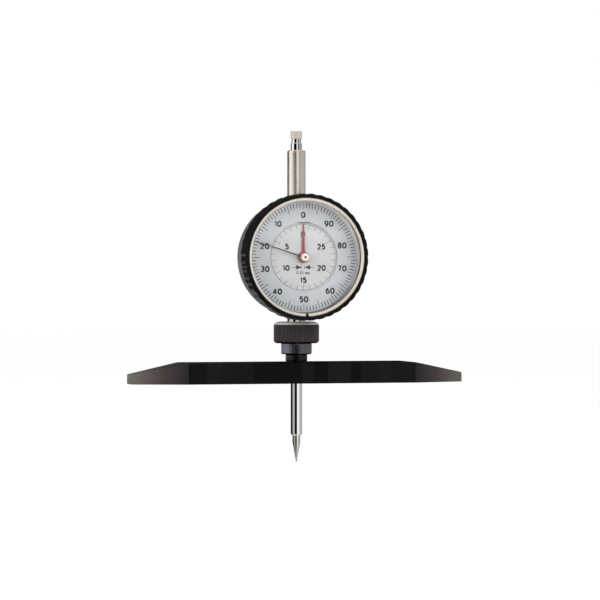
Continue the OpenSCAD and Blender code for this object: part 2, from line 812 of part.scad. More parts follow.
module split_ring() {
    color([0.88, 0.83, 0.75]) dial_axis() difference() {
        rotate_extrude() polygon([
            [ring_in_r, ring_y], [seat_r, ring_y], [seat_r, ring_y + ring_seat],
            [ring_r, ring_y + ring_seat], [ring_r, ring_y + ring_t - 0.3],
            [ring_r - 0.35, ring_y + ring_t], [ring_in_r + 0.45, ring_y + ring_t - 0.1],
            [ring_in_r, ring_y + ring_t - 0.55]
        ]);
        translate([-ring_gap / 2, -bezel_r, ring_y - eps])
            cube([ring_gap, bezel_r - slope_in_r, ring_t + 2 * eps]);
    }
}

// ---------------------------------------------------------------- plunger

// Cutter that leaves rack teeth standing on the plunger's -x side
module rack_cut(z0, z1) {
    tip = rack_line + 0.8 * rack_m;
    root = rack_line - 1.15 * rack_m;
    count = floor((z1 - z0) / rack_pitch);
    // a gap of the rack faces a tooth of the pinion at rest
    start = dial_z + rack_h - round((dial_z + rack_h - z0) / rack_pitch) * rack_pitch;
    far = plunger_r + 1;
    rotate([90, 0, 0]) translate([0, 0, -far]) linear_extrude(2 * far) polygon(concat(
        [[-far, start - rack_pitch / 2]],
        [for (i = [0:count], k = [0:3])
            [-(k == 1 || k == 2 ? root : tip), start + (i + [-0.34, -0.14, 0.14, 0.34][k]) * rack_pitch]],
        [[-far, start + (count + 0.5) * rack_pitch]]
    ));
}

module plunger() {
    pinion_z = dial_z + rack_h;
    color([0.8, 0.8, 0.82]) difference() {
        rotate_extrude() polygon([
            [0, plunger_end], [plunger_r - 0.25, plunger_end], [plunger_r, plunger_end + 0.25],
            [plunger_r, plunger_top - 0.15], [plunger_r - 0.15, plunger_top], [0, plunger_top]
        ]);
        rack_cut(pinion_z - travel - 3 * rack_pitch, pinion_z + 3 * rack_pitch);
        rod(thread_r, plunger_end - eps, plunger_end + thread_len + screw_play, 48);
        rod(thread_r, plunger_top - thread_len - screw_play, plunger_top + eps, 48);
        translate([0, 0, pin_z]) rotate([0, 90, 0]) rod(pin_r, 0, plunger_r + 1, 48);
    }
}

module plunger_cap() {
    head_z = plunger_top + groove_h;
    head_r = cap_d / 2;
    color([0.82, 0.78, 0.72]) {
        rod(thread_r, plunger_top - thread_len, plunger_top + eps, 48);
        rod(groove_d / 2, plunger_top, head_z + eps);
        intersection() {
            translate([0, 0, head_z]) ribbed(head_r, 0.12, 30, cap_head);
            rotate_extrude() polygon([
                [0, head_z], [head_r - 0.3, head_z], [head_r + eps, head_z + 0.3],
                [head_r + eps, head_z + cap_head - 0.4], [head_r - 0.4, head_z + cap_head],
                [0, head_z + cap_head]
            ]);
        }
    }
}

module contact_point() {
    point_r = point_d / 2;
    body_z = plunger_end - point_body;
    ball_r = ball_d / 2;
    waist_r = ball_r * 0.6;
    cone_end = body_z - point_cone;
    ball_z = cone_end - sqrt(ball_r * ball_r - waist_r * waist_r);
    color([0.78, 0.78, 0.8]) {
        rotate_extrude() polygon([
            [0, cone_end - eps], [waist_r, cone_end], [point_r, body_z], [point_r, plunger_end - 0.2],
            [point_r - 0.2, plunger_end], [thread_r, plunger_end], [thread_r, plunger_end + thread_len],
            [0, plunger_end + thread_len]
        ]);
        translate([0, 0, ball_z]) sphere(r = ball_r, $fn = 48);
    }
}

// ---------------------------------------------------------------- wheels, arbors and hands

module rack_pinion() {
    width = 2.2;
    color([0.72, 0.72, 0.74]) dial_axis() at_rack() {
        rod(arbor_r, rear_y - rear_t, bridge_front, 48);
        // a tooth points at the rack
        translate([0, 0, -width / 2]) gear(rack_teeth_per_turn, rack_m, width);
    }
}

module rack_wheel() {
    color([0.8, 0.68, 0.4]) dial_axis() at_rack() translate([0, 0, wheel_y])
        wheel(wheel_teeth, wheel_m, wheel_t, arbor_r, mesh_angle + 180);
}

module count_pinion() {
    color([0.8, 0.68, 0.4]) dial_axis() at_rack() translate([0, 0, count_y - 0.1]) difference() {
        gear(count_pinion_teeth, count_m, wheel_t + 0.2, mesh_angle + 180);
        translate([0, 0, -eps]) cylinder(r = arbor_r, h = wheel_t + 0.3, $fn = 48);
    }
}

module centre_arbor() {
    half_tooth = 180 / pinion_teeth;
    color([0.72, 0.72, 0.74]) dial_axis() {
        rod(arbor_r, plate_y, cap_end, 48);
        translate([0, 0, wheel_y - 0.2])
            gear(pinion_teeth, wheel_m, wheel_t + 0.4, mesh_angle + half_tooth);
    }
}

module long_hand_blade() {
    color([0.06, 0.06, 0.07]) dial_axis() rotate([0, 0, long_rest]) {
        translate([0, 0, long_y]) hand(long_hub_r, arbor_r, long_hand, 0.62, 0.2, hand_t);
        tube(long_hub_r - 0.4, arbor_r, long_y - 0.35, long_y + eps);
    }
}

module hub_cap() {
    color([0.9, 0.86, 0.76]) dial_axis() difference() {
        rotate_extrude() polygon([
            [0, cap_y], [hub_cap_r, cap_y], [hub_cap_r, cap_end - 0.35],
            [hub_cap_r - 0.35, cap_end], [0, cap_end]
        ]);
        rod(arbor_r, cap_y - eps, cap_end + eps, 48);
    }
}

module count_wheel() {
    half_tooth = 180 / count_teeth;
    color([0.8, 0.68, 0.4]) dial_axis() {
        translate([0, 0, count_y])
            wheel(count_teeth, count_m, wheel_t, pipe_in_r, mesh_angle + half_tooth);
        tube(pipe_r, pipe_in_r, count_y - 0.2, short_y + hand_t);
    }
}

module short_hand_blade() {
    color([0.68, 0.1, 0.13]) dial_axis() translate([0, 0, short_y])
        hand(short_hub_r, pipe_r, short_hand, 0.95, 0.5, hand_t);
}

module hairspring_arbor() {
    color([0.72, 0.72, 0.74]) dial_axis() at_hair() {
        rod(arbor_r, plate_y, bridge_front, 48);
        rod(hair_in_r - hair_w / 2 - 0.1, coil_y - 0.1, coil_y + coil_t + 0.1, 48);
    }
}

module hairspring_wheel() {
    color([0.8, 0.68, 0.4]) dial_axis() at_hair() translate([0, 0, wheel_y])
        wheel(wheel_teeth, wheel_m, wheel_t, arbor_r, mesh_angle);
}

base_bar();
clamp_socket();
collet();
clamp_nut();
case();
back_cover();
cover_screws();
stem();
lower_bush();
guide_tube();
upper_bush();
main_plate();
case_screws();
front_plate();
pillars();
plate_screws();
rear_bridge();
arbor_bushes();
guide_rail();
rail_screws();
spring_anchor();
return_spring();
hairspring();
hairspring_stud();
inner_dial();
bezel();
snap_wire();
outer_dial();
slope_ring();
crystal();
split_ring();
plunger();
plunger_cap();
contact_point();
guide_pin();
rack_pinion();
rack_wheel();
count_pinion();
centre_arbor();
long_hand_blade();
hub_cap();
count_wheel();
short_hand_blade();
hairspring_arbor();
hairspring_wheel();
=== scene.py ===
"""Dressed model of a bridge-type dial depth gauge.

An indicator with a needle contact point is held by its stem in a knurled clamp on a long tapered
base bar. Sizes are in millimetres and are turned to metres where a mesh is made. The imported
frame gives every piece its place: X runs along the bar, -Y is the dial side, Z is up.
"""

import logging
import math
from collections.abc import Callable
from dataclasses import dataclass
from enum import Enum
from typing import Any

import bmesh
import bpy
import numpy as np
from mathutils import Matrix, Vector


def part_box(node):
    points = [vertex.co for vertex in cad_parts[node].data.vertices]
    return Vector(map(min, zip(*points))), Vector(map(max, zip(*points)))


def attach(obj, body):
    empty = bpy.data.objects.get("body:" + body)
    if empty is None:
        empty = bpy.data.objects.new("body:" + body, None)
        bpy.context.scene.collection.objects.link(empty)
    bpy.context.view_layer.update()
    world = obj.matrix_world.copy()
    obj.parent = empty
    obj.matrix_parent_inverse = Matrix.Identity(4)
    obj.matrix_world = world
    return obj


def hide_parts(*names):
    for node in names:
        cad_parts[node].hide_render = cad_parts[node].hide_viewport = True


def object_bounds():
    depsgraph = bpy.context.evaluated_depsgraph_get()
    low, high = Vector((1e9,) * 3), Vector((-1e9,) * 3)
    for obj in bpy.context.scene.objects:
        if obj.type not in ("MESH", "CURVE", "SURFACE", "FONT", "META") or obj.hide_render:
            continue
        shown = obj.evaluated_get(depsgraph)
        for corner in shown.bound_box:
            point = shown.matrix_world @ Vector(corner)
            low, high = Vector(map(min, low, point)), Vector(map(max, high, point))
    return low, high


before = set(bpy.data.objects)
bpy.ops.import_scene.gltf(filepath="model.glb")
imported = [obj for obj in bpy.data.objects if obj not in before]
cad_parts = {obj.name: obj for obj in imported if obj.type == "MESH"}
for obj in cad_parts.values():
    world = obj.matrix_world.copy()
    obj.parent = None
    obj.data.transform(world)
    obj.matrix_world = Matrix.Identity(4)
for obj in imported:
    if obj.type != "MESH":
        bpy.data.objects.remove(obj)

CAD_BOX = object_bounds()
MM = 0.001
TAU = 2 * math.pi
SAME_PLACE = 1e-6  # points of a line that lie closer than this, in millimetres, are one
LOG = logging.getLogger("depth_gauge")

Array = np.ndarray


# ---------------------------------------------------------------- places taken from the frame


@dataclass(frozen=True)
class Extent:
    """The box of a CAD node in millimetres, with front as the distance towards the dial side."""

    left: float
    right: float
    back: float
    front: float
    low: float
    high: float

    @property
    def half_width(self) -> float:
        """Half of the width along the bar."""
        return (self.right - self.left) / 2

    @property
    def middle(self) -> float:
        """Height of the box's middle."""
        return (self.low + self.high) / 2


def extent(node: str) -> Extent:
    """Reads where a CAD node lies.

    Args:
        node: name of the node.

    Returns:
        Its box in millimetres.
    """
    low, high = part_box(node)
    return Extent(*(round(v / MM, 3) for v in (low.x, high.x, -high.y, -low.y, low.z, high.z)))


DIAL_Z = extent("crystal").middle


class Axis(Enum):
    """The two axes that turned pieces of the gauge have."""

    STEM = "up through the stem"
    DIAL = "out of the dial, towards its reader"

    def place(self, across: Array, over: Array, along: Array) -> Array:
        """Turns distances across, over and along the axis into places in the frame.

        Args:
            across: distance to the right.
            over: distance to the back for the stem, or upwards for the dial.
            along: height for the stem, or distance towards the reader for the dial.

        Returns:
            An array whose last axis is x, y, z in millimetres.
        """
        if self is Axis.STEM:
            return np.stack([across, over, along], axis=-1)
        return np.stack([across, -along, DIAL_Z + over], axis=-1)


# ---------------------------------------------------------------- surfaces


@dataclass
class Shell:
    """A surface as vertices in millimetres and lists of equally long faces."""

    points: Array
    faces: list[Array]

    def volume(self) -> float:
        """Signed volume: the sum over fans of triangles of a . (b x c) / 6.

        Returns:
            The volume in cubic millimetres, above 0 if faces point out.
        """
        total = 0.0
        for group in self.faces:
            for k in range(1, group.shape[1] - 1):
                a, b, c = (self.points[group[:, i]] for i in (0, k, k + 1))
                total += float(np.einsum("ij,ij->i", a, np.cross(b, c)).sum()) / 6
        return total

    def outward(self) -> "Shell":
        """The same closed surface with its faces pointing outwards."""
        return self if self.volume() >= 0 else Shell(self.points, [group[:, ::-1] for group in self.faces])


def cad_shell(node: str) -> Shell:
    """Reads the mesh of a CAD node, to reshape a copy of it.

    Args:
        node: name of the node.

    Returns:
        Its surface in millimetres.
    """
    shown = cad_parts[node]
    shown.data.calc_loop_triangles()
    points = np.empty(len(shown.data.vertices) * 3, np.float32)
    shown.data.vertices.foreach_get("co", points)
    faces = np.empty(len(shown.data.loop_triangles) * 3, np.int32)
    shown.data.loop_triangles.foreach_get("vertices", faces)
    turn = np.array(shown.matrix_world)
    placed = points.reshape(-1, 3).astype(float) @ turn[:3, :3].T + turn[:3, 3]
    return Shell(placed / MM, [faces.reshape(-1, 3)])


def joined(shells: list[Shell]) -> Shell:
    """Puts several surfaces into one.

    Args:
        shells: the surfaces.

    Returns:
        One surface with all their vertices and faces.
    """
    starts = np.cumsum([0] + [len(s.points) for s in shells])
    faces = [group + start for s, start in zip(shells, starts) for group in s.faces]
    return Shell(np.concatenate([s.points for s in shells]), faces)


def grid(points: Array, round_rows: bool = False, round_columns: bool = False) -> Shell:
    """Surface on a grid: each face joins a point with its next in the row and in the column.

    Args:
        points: places, with rows, columns and x, y, z as axes.
        round_rows: whether the last row joins the first.
        round_columns: whether the last column joins the first.

    Returns:
        The surface.
    """
    rows, columns = points.shape[:2]
    i = np.arange(rows if round_rows else rows - 1)
    j = np.arange(columns if round_columns else columns - 1)
    i, j = (a.ravel() for a in np.meshgrid(i, j, indexing="ij"))
    down, right = (i + 1) % rows, (j + 1) % columns
    corners = [i * columns + j, i * columns + right, down * columns + right, down * columns + j]
    return Shell(points.reshape(-1, 3), [np.stack(corners, axis=1)])


Corners = list[tuple[float, float, float]]


def rounded(corners: Corners, steps: int = 5, closed: bool = True) -> Array:
    """Outline with an arc at each corner.

    At a corner with unit directions u and v to its neighbours and half angle f between them, the
    arc of radius r starts r / tan f along u, ends as far along v, and has its centre r / sin f
    along the bisector. Its points turn from the first radius to the last in equal angles.

    Args:
        corners: places of the corners, each with the radius of its arc.
        steps: number of stretches in each arc.
        closed: whether the last corner joins the first; if not, both ends stay as they are.

    Returns:
        The points of the outline, one row each.
    """
    table = np.array(corners, float)
    p, r = table[:, :2], table[:, 2]
    if not closed:
        p, r = p[1:-1], r[1:-1]
    before = np.roll(table[:, :2], 1, axis=0) if closed else table[:-2, :2]
    after = np.roll(table[:, :2], -1, axis=0) if closed else table[2:, :2]
    u = (before - p) / np.linalg.norm(before - p, axis=1, keepdims=True)
    v = (after - p) / np.linalg.norm(after - p, axis=1, keepdims=True)
    half = np.arccos(np.clip((u * v).sum(axis=1), -1, 1)) / 2
    half = np.clip(half, 0.05, math.pi / 2 - 1e-4)  # a straight corner's centre stays within reach
    bisector = (u + v) / np.maximum(np.linalg.norm(u + v, axis=1, keepdims=True), 1e-9)
    centre = p + bisector * (r / np.sin(half))[:, None]
    first = p + u * (r / np.tan(half))[:, None] - centre
    last = p + v * (r / np.tan(half))[:, None] - centre
    sweep = math.pi - 2 * half
    s = np.linspace(0, 1, steps + 1)[None, :, None]
    w = np.maximum(sweep, 1e-6)[:, None, None]
    mixed = np.sin((1 - s) * w) * first[:, None] + np.sin(s * w) * last[:, None]
    line = (centre[:, None] + mixed / np.sin(w)).reshape(-1, 2)
    if not closed:
        line = np.concatenate([table[:1, :2], line, table[-1:, :2]])
    keep = np.linalg.norm(line - np.roll(line, 1, axis=0), axis=1) > SAME_PLACE
    keep[0] = keep[0] or not closed
    return line[keep]


def refined(line: Array, longest: float, closed: bool = True) -> Array:
    """Line with extra points on its long stretches, at equal distances along it.

    Args:
        line: points of the line.
        longest: distance between the extra points.
        closed: whether the line's end joins its start.

    Returns:
        The old and new points in order.
    """
    loop = np.concatenate([line, line[:1]]) if closed else line
    at = np.concatenate([[0], np.cumsum(np.linalg.norm(np.diff(loop, axis=0), axis=1))])
    every = np.linspace(0, at[-1], max(2, int(at[-1] / longest)))
    all_at = np.unique(np.round(np.concatenate([at, every]), 4))
    all_at = all_at[np.concatenate([[True], np.diff(all_at) > 1e-3])]
    out = np.stack([np.interp(all_at, at, loop[:, k]) for k in (0, 1)], axis=1)
    return out[:-1] if closed else out


Limit = Callable[[Array, Array], Array]
FREE = 99.0  # a limit that cuts nothing


def turned(
    line: Array, axis: Axis, sides: int = 128, limit: Limit | None = None, closed: bool = True
) -> Shell:
    """Turned piece: the outline goes once round the axis.

    A point of the outline at radius r and distance h along the axis comes to
    (r cos a, r sin a, h) for each angle a. A limit cuts r down to a value that depends on a and
    h, as knurling and scallops do.

    Args:
        line: radius and distance along the axis of each point of the outline.
        axis: the axis of the piece.
        sides: number of steps round the axis.
        limit: greatest radius at an angle and a distance along the axis.
        closed: whether the outline is a loop; if not, its ends lie on the axis.

    Returns:
        The closed surface.
    """
    angle = np.linspace(0, TAU, sides, endpoint=False)[None, :]
    radius = np.broadcast_to(line[:, :1], (len(line), sides))
    along = np.broadcast_to(line[:, 1:], (len(line), sides))
    if limit is not None:
        radius = np.minimum(radius, limit(np.broadcast_to(angle, radius.shape), along))
    points = axis.place(radius * np.cos(angle), radius * np.sin(angle), along)
    return grid(points, round_rows=closed, round_columns=True).outward()


def lathe(
    corners: Corners,
    axis: Axis,
    steps: int = 5,
    longest: float = math.inf,
    sides: int = 128,
    limit: Limit | None = None,
    closed: bool = True,
) -> Shell:
    """Turned piece given by the corners of its outline, with an arc at each.

    Args:
        corners: radius and distance along the axis of each corner, and the radius of its arc.
        axis: the axis of the piece.
        steps: number of stretches in each arc.
        longest: distance between the extra points of the outline; none if it is infinite.
        sides: number of steps round the axis.
        limit: greatest radius at an angle and a distance along the axis.
        closed: whether the outline is a loop; if not, its ends lie on the axis.

    Returns:
        The closed surface.
    """
    line = rounded(corners, steps, closed)
    if longest < math.inf:
        line = refined(line, longest, closed)
    return turned(line, axis, sides, limit, closed)


def sector(line: Array, axis: Axis, start: float, end: float, sides: int = 96) -> Shell:
    """Turned piece that stops short of a full turn, with flat ends.

    Args:
        line: radius and distance along the axis of each point of the closed outline.
        axis: the axis of the piece.
        start: first angle in degrees.
        end: last angle in degrees.
        sides: number of steps round the axis.

    Returns:
        The closed surface.
    """
    angle = np.radians(np.linspace(start, end, sides + 1))[None, :]
    radius, along = line[:, :1], np.broadcast_to(line[:, 1:], (len(line), sides + 1))
    points = axis.place(radius * np.cos(angle), radius * np.sin(angle), along)
    wall = grid(points, round_rows=True)
    ring = np.arange(len(line)) * (sides + 1)
    caps = [ring[None, :], (ring + sides)[None, ::-1]]
    return Shell(wall.points, wall.faces + caps).outward()


def slab(outline: Array, axis: Axis, low: float, high: float, soft: float, steps: int = 3) -> Shell:
    """Flat piece with a rounded upper edge: the outline rises straight, then leans in by an arc.

    Args:
        outline: points across and over the axis, anti-clockwise.
        axis: the direction that the piece's thickness has.
        low: lower face along the axis.
        high: upper face along the axis.
        soft: radius of the upper edge.
        steps: number of stretches in the edge's arc.

    Returns:
        The closed surface.
    """
    step = np.roll(outline, -1, axis=0) - outline
    step /= np.linalg.norm(step, axis=1, keepdims=True)
    mean = step + np.roll(step, 1, axis=0)
    mean /= np.maximum(np.linalg.norm(mean, axis=1, keepdims=True), 1e-9)
    inwards = np.stack([-mean[:, 1], mean[:, 0]], axis=1)
    turn = np.linspace(0, math.pi / 2, steps + 1)
    inset = np.concatenate([[0], soft * (1 - np.cos(turn))])[:, None, None]
    level = np.concatenate([[low], high - soft * (1 - np.sin(turn))])
    flat = outline[None] + inwards[None] * inset
    points = axis.place(flat[..., 0], flat[..., 1], np.broadcast_to(level[:, None], flat.shape[:2]))
    wall = grid(points, round_columns=True)
    count = len(outline)
    foot = np.arange(count)
    top = foot + (len(level) - 1) * count
    return Shell(wall.points, wall.faces + [foot[None, ::-1], top[None, :]]).outward()


def blocks(outlines: Array, axis: Axis, low: float, high: float) -> Shell:
    """Many flat four-sided blocks of one thickness.

    Args:
        outlines: block, corner and across or over as axes; corners run anti-clockwise.
        axis: the direction of their thickness.
        low: lower face along the axis.
        high: upper face along the axis.

    Returns:
        The closed blocks as one surface.
    """
    level = np.array([low, high])[None, :, None]
    shape = (len(outlines), 2, 4)
    across = np.broadcast_to(outlines[:, None, :, 0], shape)
    over = np.broadcast_to(outlines[:, None, :, 1], shape)
    points = axis.place(across, over, np.broadcast_to(level, shape)).reshape(-1, 3)
    walls = [[k, (k + 1) % 4, (k + 1) % 4 + 4, k + 4] for k in range(4)]
    pattern = np.array(walls + [[3, 2, 1, 0], [4, 5, 6, 7]])
    faces = (np.arange(len(outlines)) * 8)[:, None, None] + pattern[None]
    return Shell(points, [faces.reshape(-1, 4)]).outward()


LONGEST_CORNER = 1.3  # half widths that the edge of a line may lie off its middle at a corner


def ribbon(line: Array, width: float, axis: Axis, low: float, high: float, closed: bool) -> Shell:
    """Flat line of even width.

    At each point its edges lie to both sides along the mean of the normals of the two stretches
    that meet there, half a width over the cosine of half their turn away. LONGEST_CORNER limits it.

    Args:
        line: points of its middle across and over the axis.
        width: width of the line.
        axis: the direction of its thickness.
        low: lower face along the axis.
        high: upper face along the axis.
        closed: whether the line's end joins its start.

    Returns:
        The closed surface.
    """
    line = line[np.concatenate([[True], np.linalg.norm(np.diff(line, axis=0), axis=1) > SAME_PLACE])]
    step = np.roll(line, -1, axis=0) - line
    step /= np.linalg.norm(step, axis=1, keepdims=True)
    before = np.roll(step, 1, axis=0)
    if not closed:
        before[0], step[-1] = step[0], before[-1]
    mean = (step + before) / 2
    cosine = np.maximum(np.linalg.norm(mean, axis=1, keepdims=True), 1e-6)
    normal = np.stack([-mean[:, 1], mean[:, 0]], axis=1) / cosine
    side = normal * np.minimum(1 / cosine, LONGEST_CORNER) * width / 2
    left, right = line + side, line - side
    flat = np.stack([left, right, right, left], axis=1)
    level = np.broadcast_to(np.array([low, low, high, high]), flat.shape[:2])
    wall = grid(axis.place(flat[..., 0], flat[..., 1], level), round_rows=closed, round_columns=True)
    if not closed:
        wall.faces += [np.array([[3, 2, 1, 0]]), np.array([[0, 1, 2, 3]]) + 4 * (len(line) - 1)]
    return wall.outward()


def ring_band(inner: float, outer: float, axis: Axis, low: float, high: float, sides: int = 180) -> Shell:
    """Flat ring with square edges."""
    return turned(np.array([[inner, low], [outer, low], [outer, high], [inner, high]]), axis, sides)


# ---------------------------------------------------------------- materials


def linear(colour: str) -> tuple[float, float, float, float]:
    """Turns an sRGB hex colour to the linear values that the shader takes.

    Args:
        colour: such as "#8a6f3c".

    Returns:
        Red, green, blue and an alpha of 1.
    """
    parts = [int(colour[i : i + 2], 16) / 255 for i in (1, 3, 5)]
    r, g, b = (p / 12.92 if p <= 0.04045 else ((p + 0.055) / 1.055) ** 2.4 for p in parts)
    return (r, g, b, 1.0)


def add_node(
    tree: bpy.types.NodeTree, kind: str, settings: dict[str, Any] | None = None, **sockets: Any
) -> bpy.types.Node:
    """Adds a node, sets it up and links it.

    Args:
        tree: the node tree.
        kind: Blender's name of the node's type, without its ShaderNode prefix.
        settings: the node's own properties.
        **sockets: input values by name with _ for a space, or by s and the input's number. A
            socket as value is linked.

    Returns:
        The node.
    """
    node = tree.nodes.new("ShaderNode" + kind)
    for name, value in (settings or {}).items():
        setattr(node, name, value)
    for name, value in sockets.items():
        target = node.inputs[int(name[1:])] if name[0] == "s" and name[1:].isdigit() else None
        target = target or node.inputs[name.replace("_", " ")]
        if isinstance(value, bpy.types.NodeSocket):
            tree.links.new(value, target)
        else:
            target.default_value = value
    return node


def new_material(name: str) -> bpy.types.Material:
    """Makes a material with Blender's standard shader.

    Args:
        name: name of the material.

    Returns:
        The material.
    """
    made = bpy.data.materials.new(name)
    made.use_nodes = True
    return made


class Grain(Enum):
    """Which way the fine marks of a finish run."""

    STEM_RINGS = "rings round the stem axis, as turning leaves them"
    DIAL_RINGS = "rings round the dial axis, as turning leaves them"
    ALONG_STEM = "lines along the stem, as drawing or lapping leaves them"
    ALONG_BAR = "lines along the bar, as surface grinding leaves them"
    ACROSS_BAR = "upright lines on the bar's sides, as milling leaves them"
    NONE = "no direction, as blasting, moulding and painting leave them"


NOISE_RANGE = {"From_Min": 0.3, "From_Max": 0.7}  # nearly all values of a noise lie in it
CLOUD_RANGE = {"From_Min": 0.35, "From_Max": 0.65}  # narrower, so that clouds have clear middles
BAND_RANGE = {"From_Min": 0.2, "From_Max": 0.8}  # a fifth of the bands shows none, a fifth all of it
SIDE_LEAN = 0.06  # of Measure.SIDE_DEPTH

# Stretch of the pattern along x, y and z for each way the marks run: 1 across them
STRETCH = {
    Grain.STEM_RINGS: (0.02, 0.02, 1.0),
    Grain.ALONG_STEM: (1.0, 1.0, 0.02),
    Grain.ALONG_BAR: (0.02, 1.0, 1.0),
    Grain.ACROSS_BAR: (1.0, 1.0, 0.02),
    Grain.NONE: (1.0, 1.0, 1.0),
}


class Measure(Enum):
    """What a fade of the colour goes by, in millimetres from the frame's origin."""

    HEIGHT = "height over the measuring face"
    REACH = "distance to either side of the stem axis, along the bar"
    RADIUS = "distance from the stem axis in any direction"
    DEPTH = "distance from the stem axis towards the dial's reader"
    SIDE_DEPTH = "the same, plus 0.06 of the distance to the right"


@dataclass(frozen=True)
class Fade:
    """A change of colour between two places of a piece."""

    measure: Measure
    start: float
    end: float
    colour: str

    def share(self, tree: bpy.types.NodeTree) -> bpy.types.NodeSocket:
        """How much of the fade's colour shows: 0 at its start, 1 at its end.

        Args:
            tree: the material's nodes.

        Returns:
            The socket with the share.
        """
        place = add_node(tree, "TexCoord").outputs["Object"]
        parts = add_node(tree, "SeparateXYZ", Vector=place)
        value = parts.outputs["Z"]
        if self.measure is Measure.REACH:
            value = add_node(tree, "Math", {"operation": "ABSOLUTE"}, s0=parts.outputs["X"]).outputs[0]
        if self.measure in (Measure.DEPTH, Measure.SIDE_DEPTH):
            lean = SIDE_LEAN if self.measure is Measure.SIDE_DEPTH else 0.0
            value = add_node(
                tree, "VectorMath", {"operation": "DOT_PRODUCT"}, s0=place, s1=(lean, -1.0, 0.0)
            ).outputs["Value"]
        if self.measure is Measure.RADIUS:
            flat = add_node(tree, "Mapping", Vector=place, Scale=(1, 1, 0)).outputs[0]
            value = add_node(tree, "VectorMath", {"operation": "LENGTH"}, s0=flat).outputs["Value"]
        ends = {"From_Min": self.start * MM, "From_Max": self.end * MM}
        return add_node(tree, "MapRange", Value=value, To_Min=0.0, To_Max=1.0, **ends).outputs[0]


@dataclass(frozen=True)
class Finish:
    """A finish: the colour and smoothness of a surface and the fine marks on it."""

    name: str
    colour: str
    roughness: float
    metallic: float = 0.0
    grain: Grain = Grain.NONE
    grain_mm: float = 0.3  # distance between the marks
    depth_mm: float = 0.004  # height of the marks
    tint: str = ""  # second colour, mixed in by soft clouds
    cloud_mm: float = 12.0  # size of the clouds
    cloud_share: float = 0.35  # most of the second colour that shows
    rough_spread: float = 0.06  # how far the roughness varies
    specular: float = 0.5
    coat: float = 0.0
    coat_roughness: float = 0.08
    stretch_light: float = 0.0  # anisotropy of turned metal
    band_mm: float = 0.0  # mean width of upright bands of the second colour; 0 for clouds
    fades: tuple[Fade, ...] = ()

    def pattern(self, tree: bpy.types.NodeTree) -> bpy.types.NodeSocket:
        """Fine marks as a value from 0 to 1.

        Args:
            tree: the material's nodes.

        Returns:
            The socket with the value.
        """
        place = add_node(tree, "TexCoord").outputs["Object"]
        scale = 1 / (self.grain_mm * MM)
        if self.grain is Grain.DIAL_RINGS:
            centred = add_node(tree, "Mapping", Vector=place, Location=(0, 0, -DIAL_Z * MM))
            flat = add_node(tree, "Mapping", Vector=centred.outputs[0], Scale=(1, 0.02, 1))
            radius = add_node(tree, "VectorMath", {"operation": "LENGTH"}, s0=flat.outputs[0])
            along = radius.outputs["Value"]
            noise = add_node(tree, "TexNoise", {"noise_dimensions": "1D"}, W=along, Scale=scale, Detail=2.0)
            return noise.outputs["Fac"]
        stretched = add_node(tree, "Mapping", Vector=place, Scale=STRETCH[self.grain])
        noise = add_node(tree, "TexNoise", Vector=stretched.outputs[0], Scale=scale, Detail=2.0)
        return noise.outputs["Fac"]

    def clouds(self, tree: bpy.types.NodeTree) -> bpy.types.NodeSocket:
        """Where the second colour shows: soft clouds, or upright bands of uneven width.

        Args:
            tree: the material's nodes.

        Returns:
            The socket with its share, from 0 to cloud_share.
        """
        place = add_node(tree, "TexCoord").outputs["Object"]
        if self.band_mm:
            along = add_node(tree, "SeparateXYZ", Vector=place).outputs["X"]
            cells = add_node(
                tree, "TexVoronoi", {"voronoi_dimensions": "1D"}, W=along, Scale=1 / (self.band_mm * MM)
            )
            value = add_node(tree, "SeparateColor", Color=cells.outputs["Color"]).outputs[0]
            limits = BAND_RANGE
        else:
            noise = add_node(tree, "TexNoise", Vector=place, Scale=1 / (self.cloud_mm * MM), Detail=3.0)
            value = noise.outputs["Fac"]
            limits = CLOUD_RANGE
        spread = add_node(tree, "MapRange", Value=value, To_Min=0.0, To_Max=self.cloud_share, **limits)
        return spread.outputs[0]

    def material(self) -> bpy.types.Material:
        """Makes the material, or finds it if it was made before.

        Returns:
            The material.
        """
        found = bpy.data.materials.get(self.name)
        if found is not None:
            return found
        made = new_material(self.name)
        made.diffuse_color = linear(self.colour)
        tree = made.node_tree
        shader = tree.nodes["Principled BSDF"]
        shader.inputs["Base Color"].default_value = linear(self.colour)
        shader.inputs["Metallic"].default_value = self.metallic
        shader.inputs["Specular IOR Level"].default_value = self.specular
        shader.inputs["Coat Weight"].default_value = self.coat
        shader.inputs["Coat Roughness"].default_value = self.coat_roughness
        shader.inputs["Anisotropic"].default_value = self.stretch_light
        marks = self.pattern(tree)
        colour: Any = linear(self.colour)
        mixes = [(self.clouds(tree), self.tint)] if self.tint else []
        mixes += [(fade.share(tree), fade.colour) for fade in self.fades]
        for share, second in mixes:
            kind = {"data_type": "RGBA"}
            colour = add_node(tree, "Mix", kind, s0=share, s6=colour, s7=linear(second)).outputs[2]
        if mixes:
            tree.links.new(colour, shader.inputs["Base Color"])
        rough = add_node(
            tree,
            "MapRange",
            Value=marks,
            To_Min=max(0.02, self.roughness - self.rough_spread),
            To_Max=self.roughness + self.rough_spread,
            **NOISE_RANGE,
        )
        tree.links.new(rough.outputs[0], shader.inputs["Roughness"])
        bump = add_node(tree, "Bump", Height=marks, Distance=self.depth_mm * MM, Strength=1.0)
        tree.links.new(bump.outputs[0], shader.inputs["Normal"])
        if self.stretch_light:
            direction = "Y" if self.grain is Grain.DIAL_RINGS else "Z"
            shader.inputs["Anisotropic Rotation"].default_value = 0.25
            tangent = add_node(tree, "Tangent", {"direction_type": "RADIAL", "axis": direction})
            tree.links.new(tangent.outputs[0], shader.inputs["Tangent"])
        return made


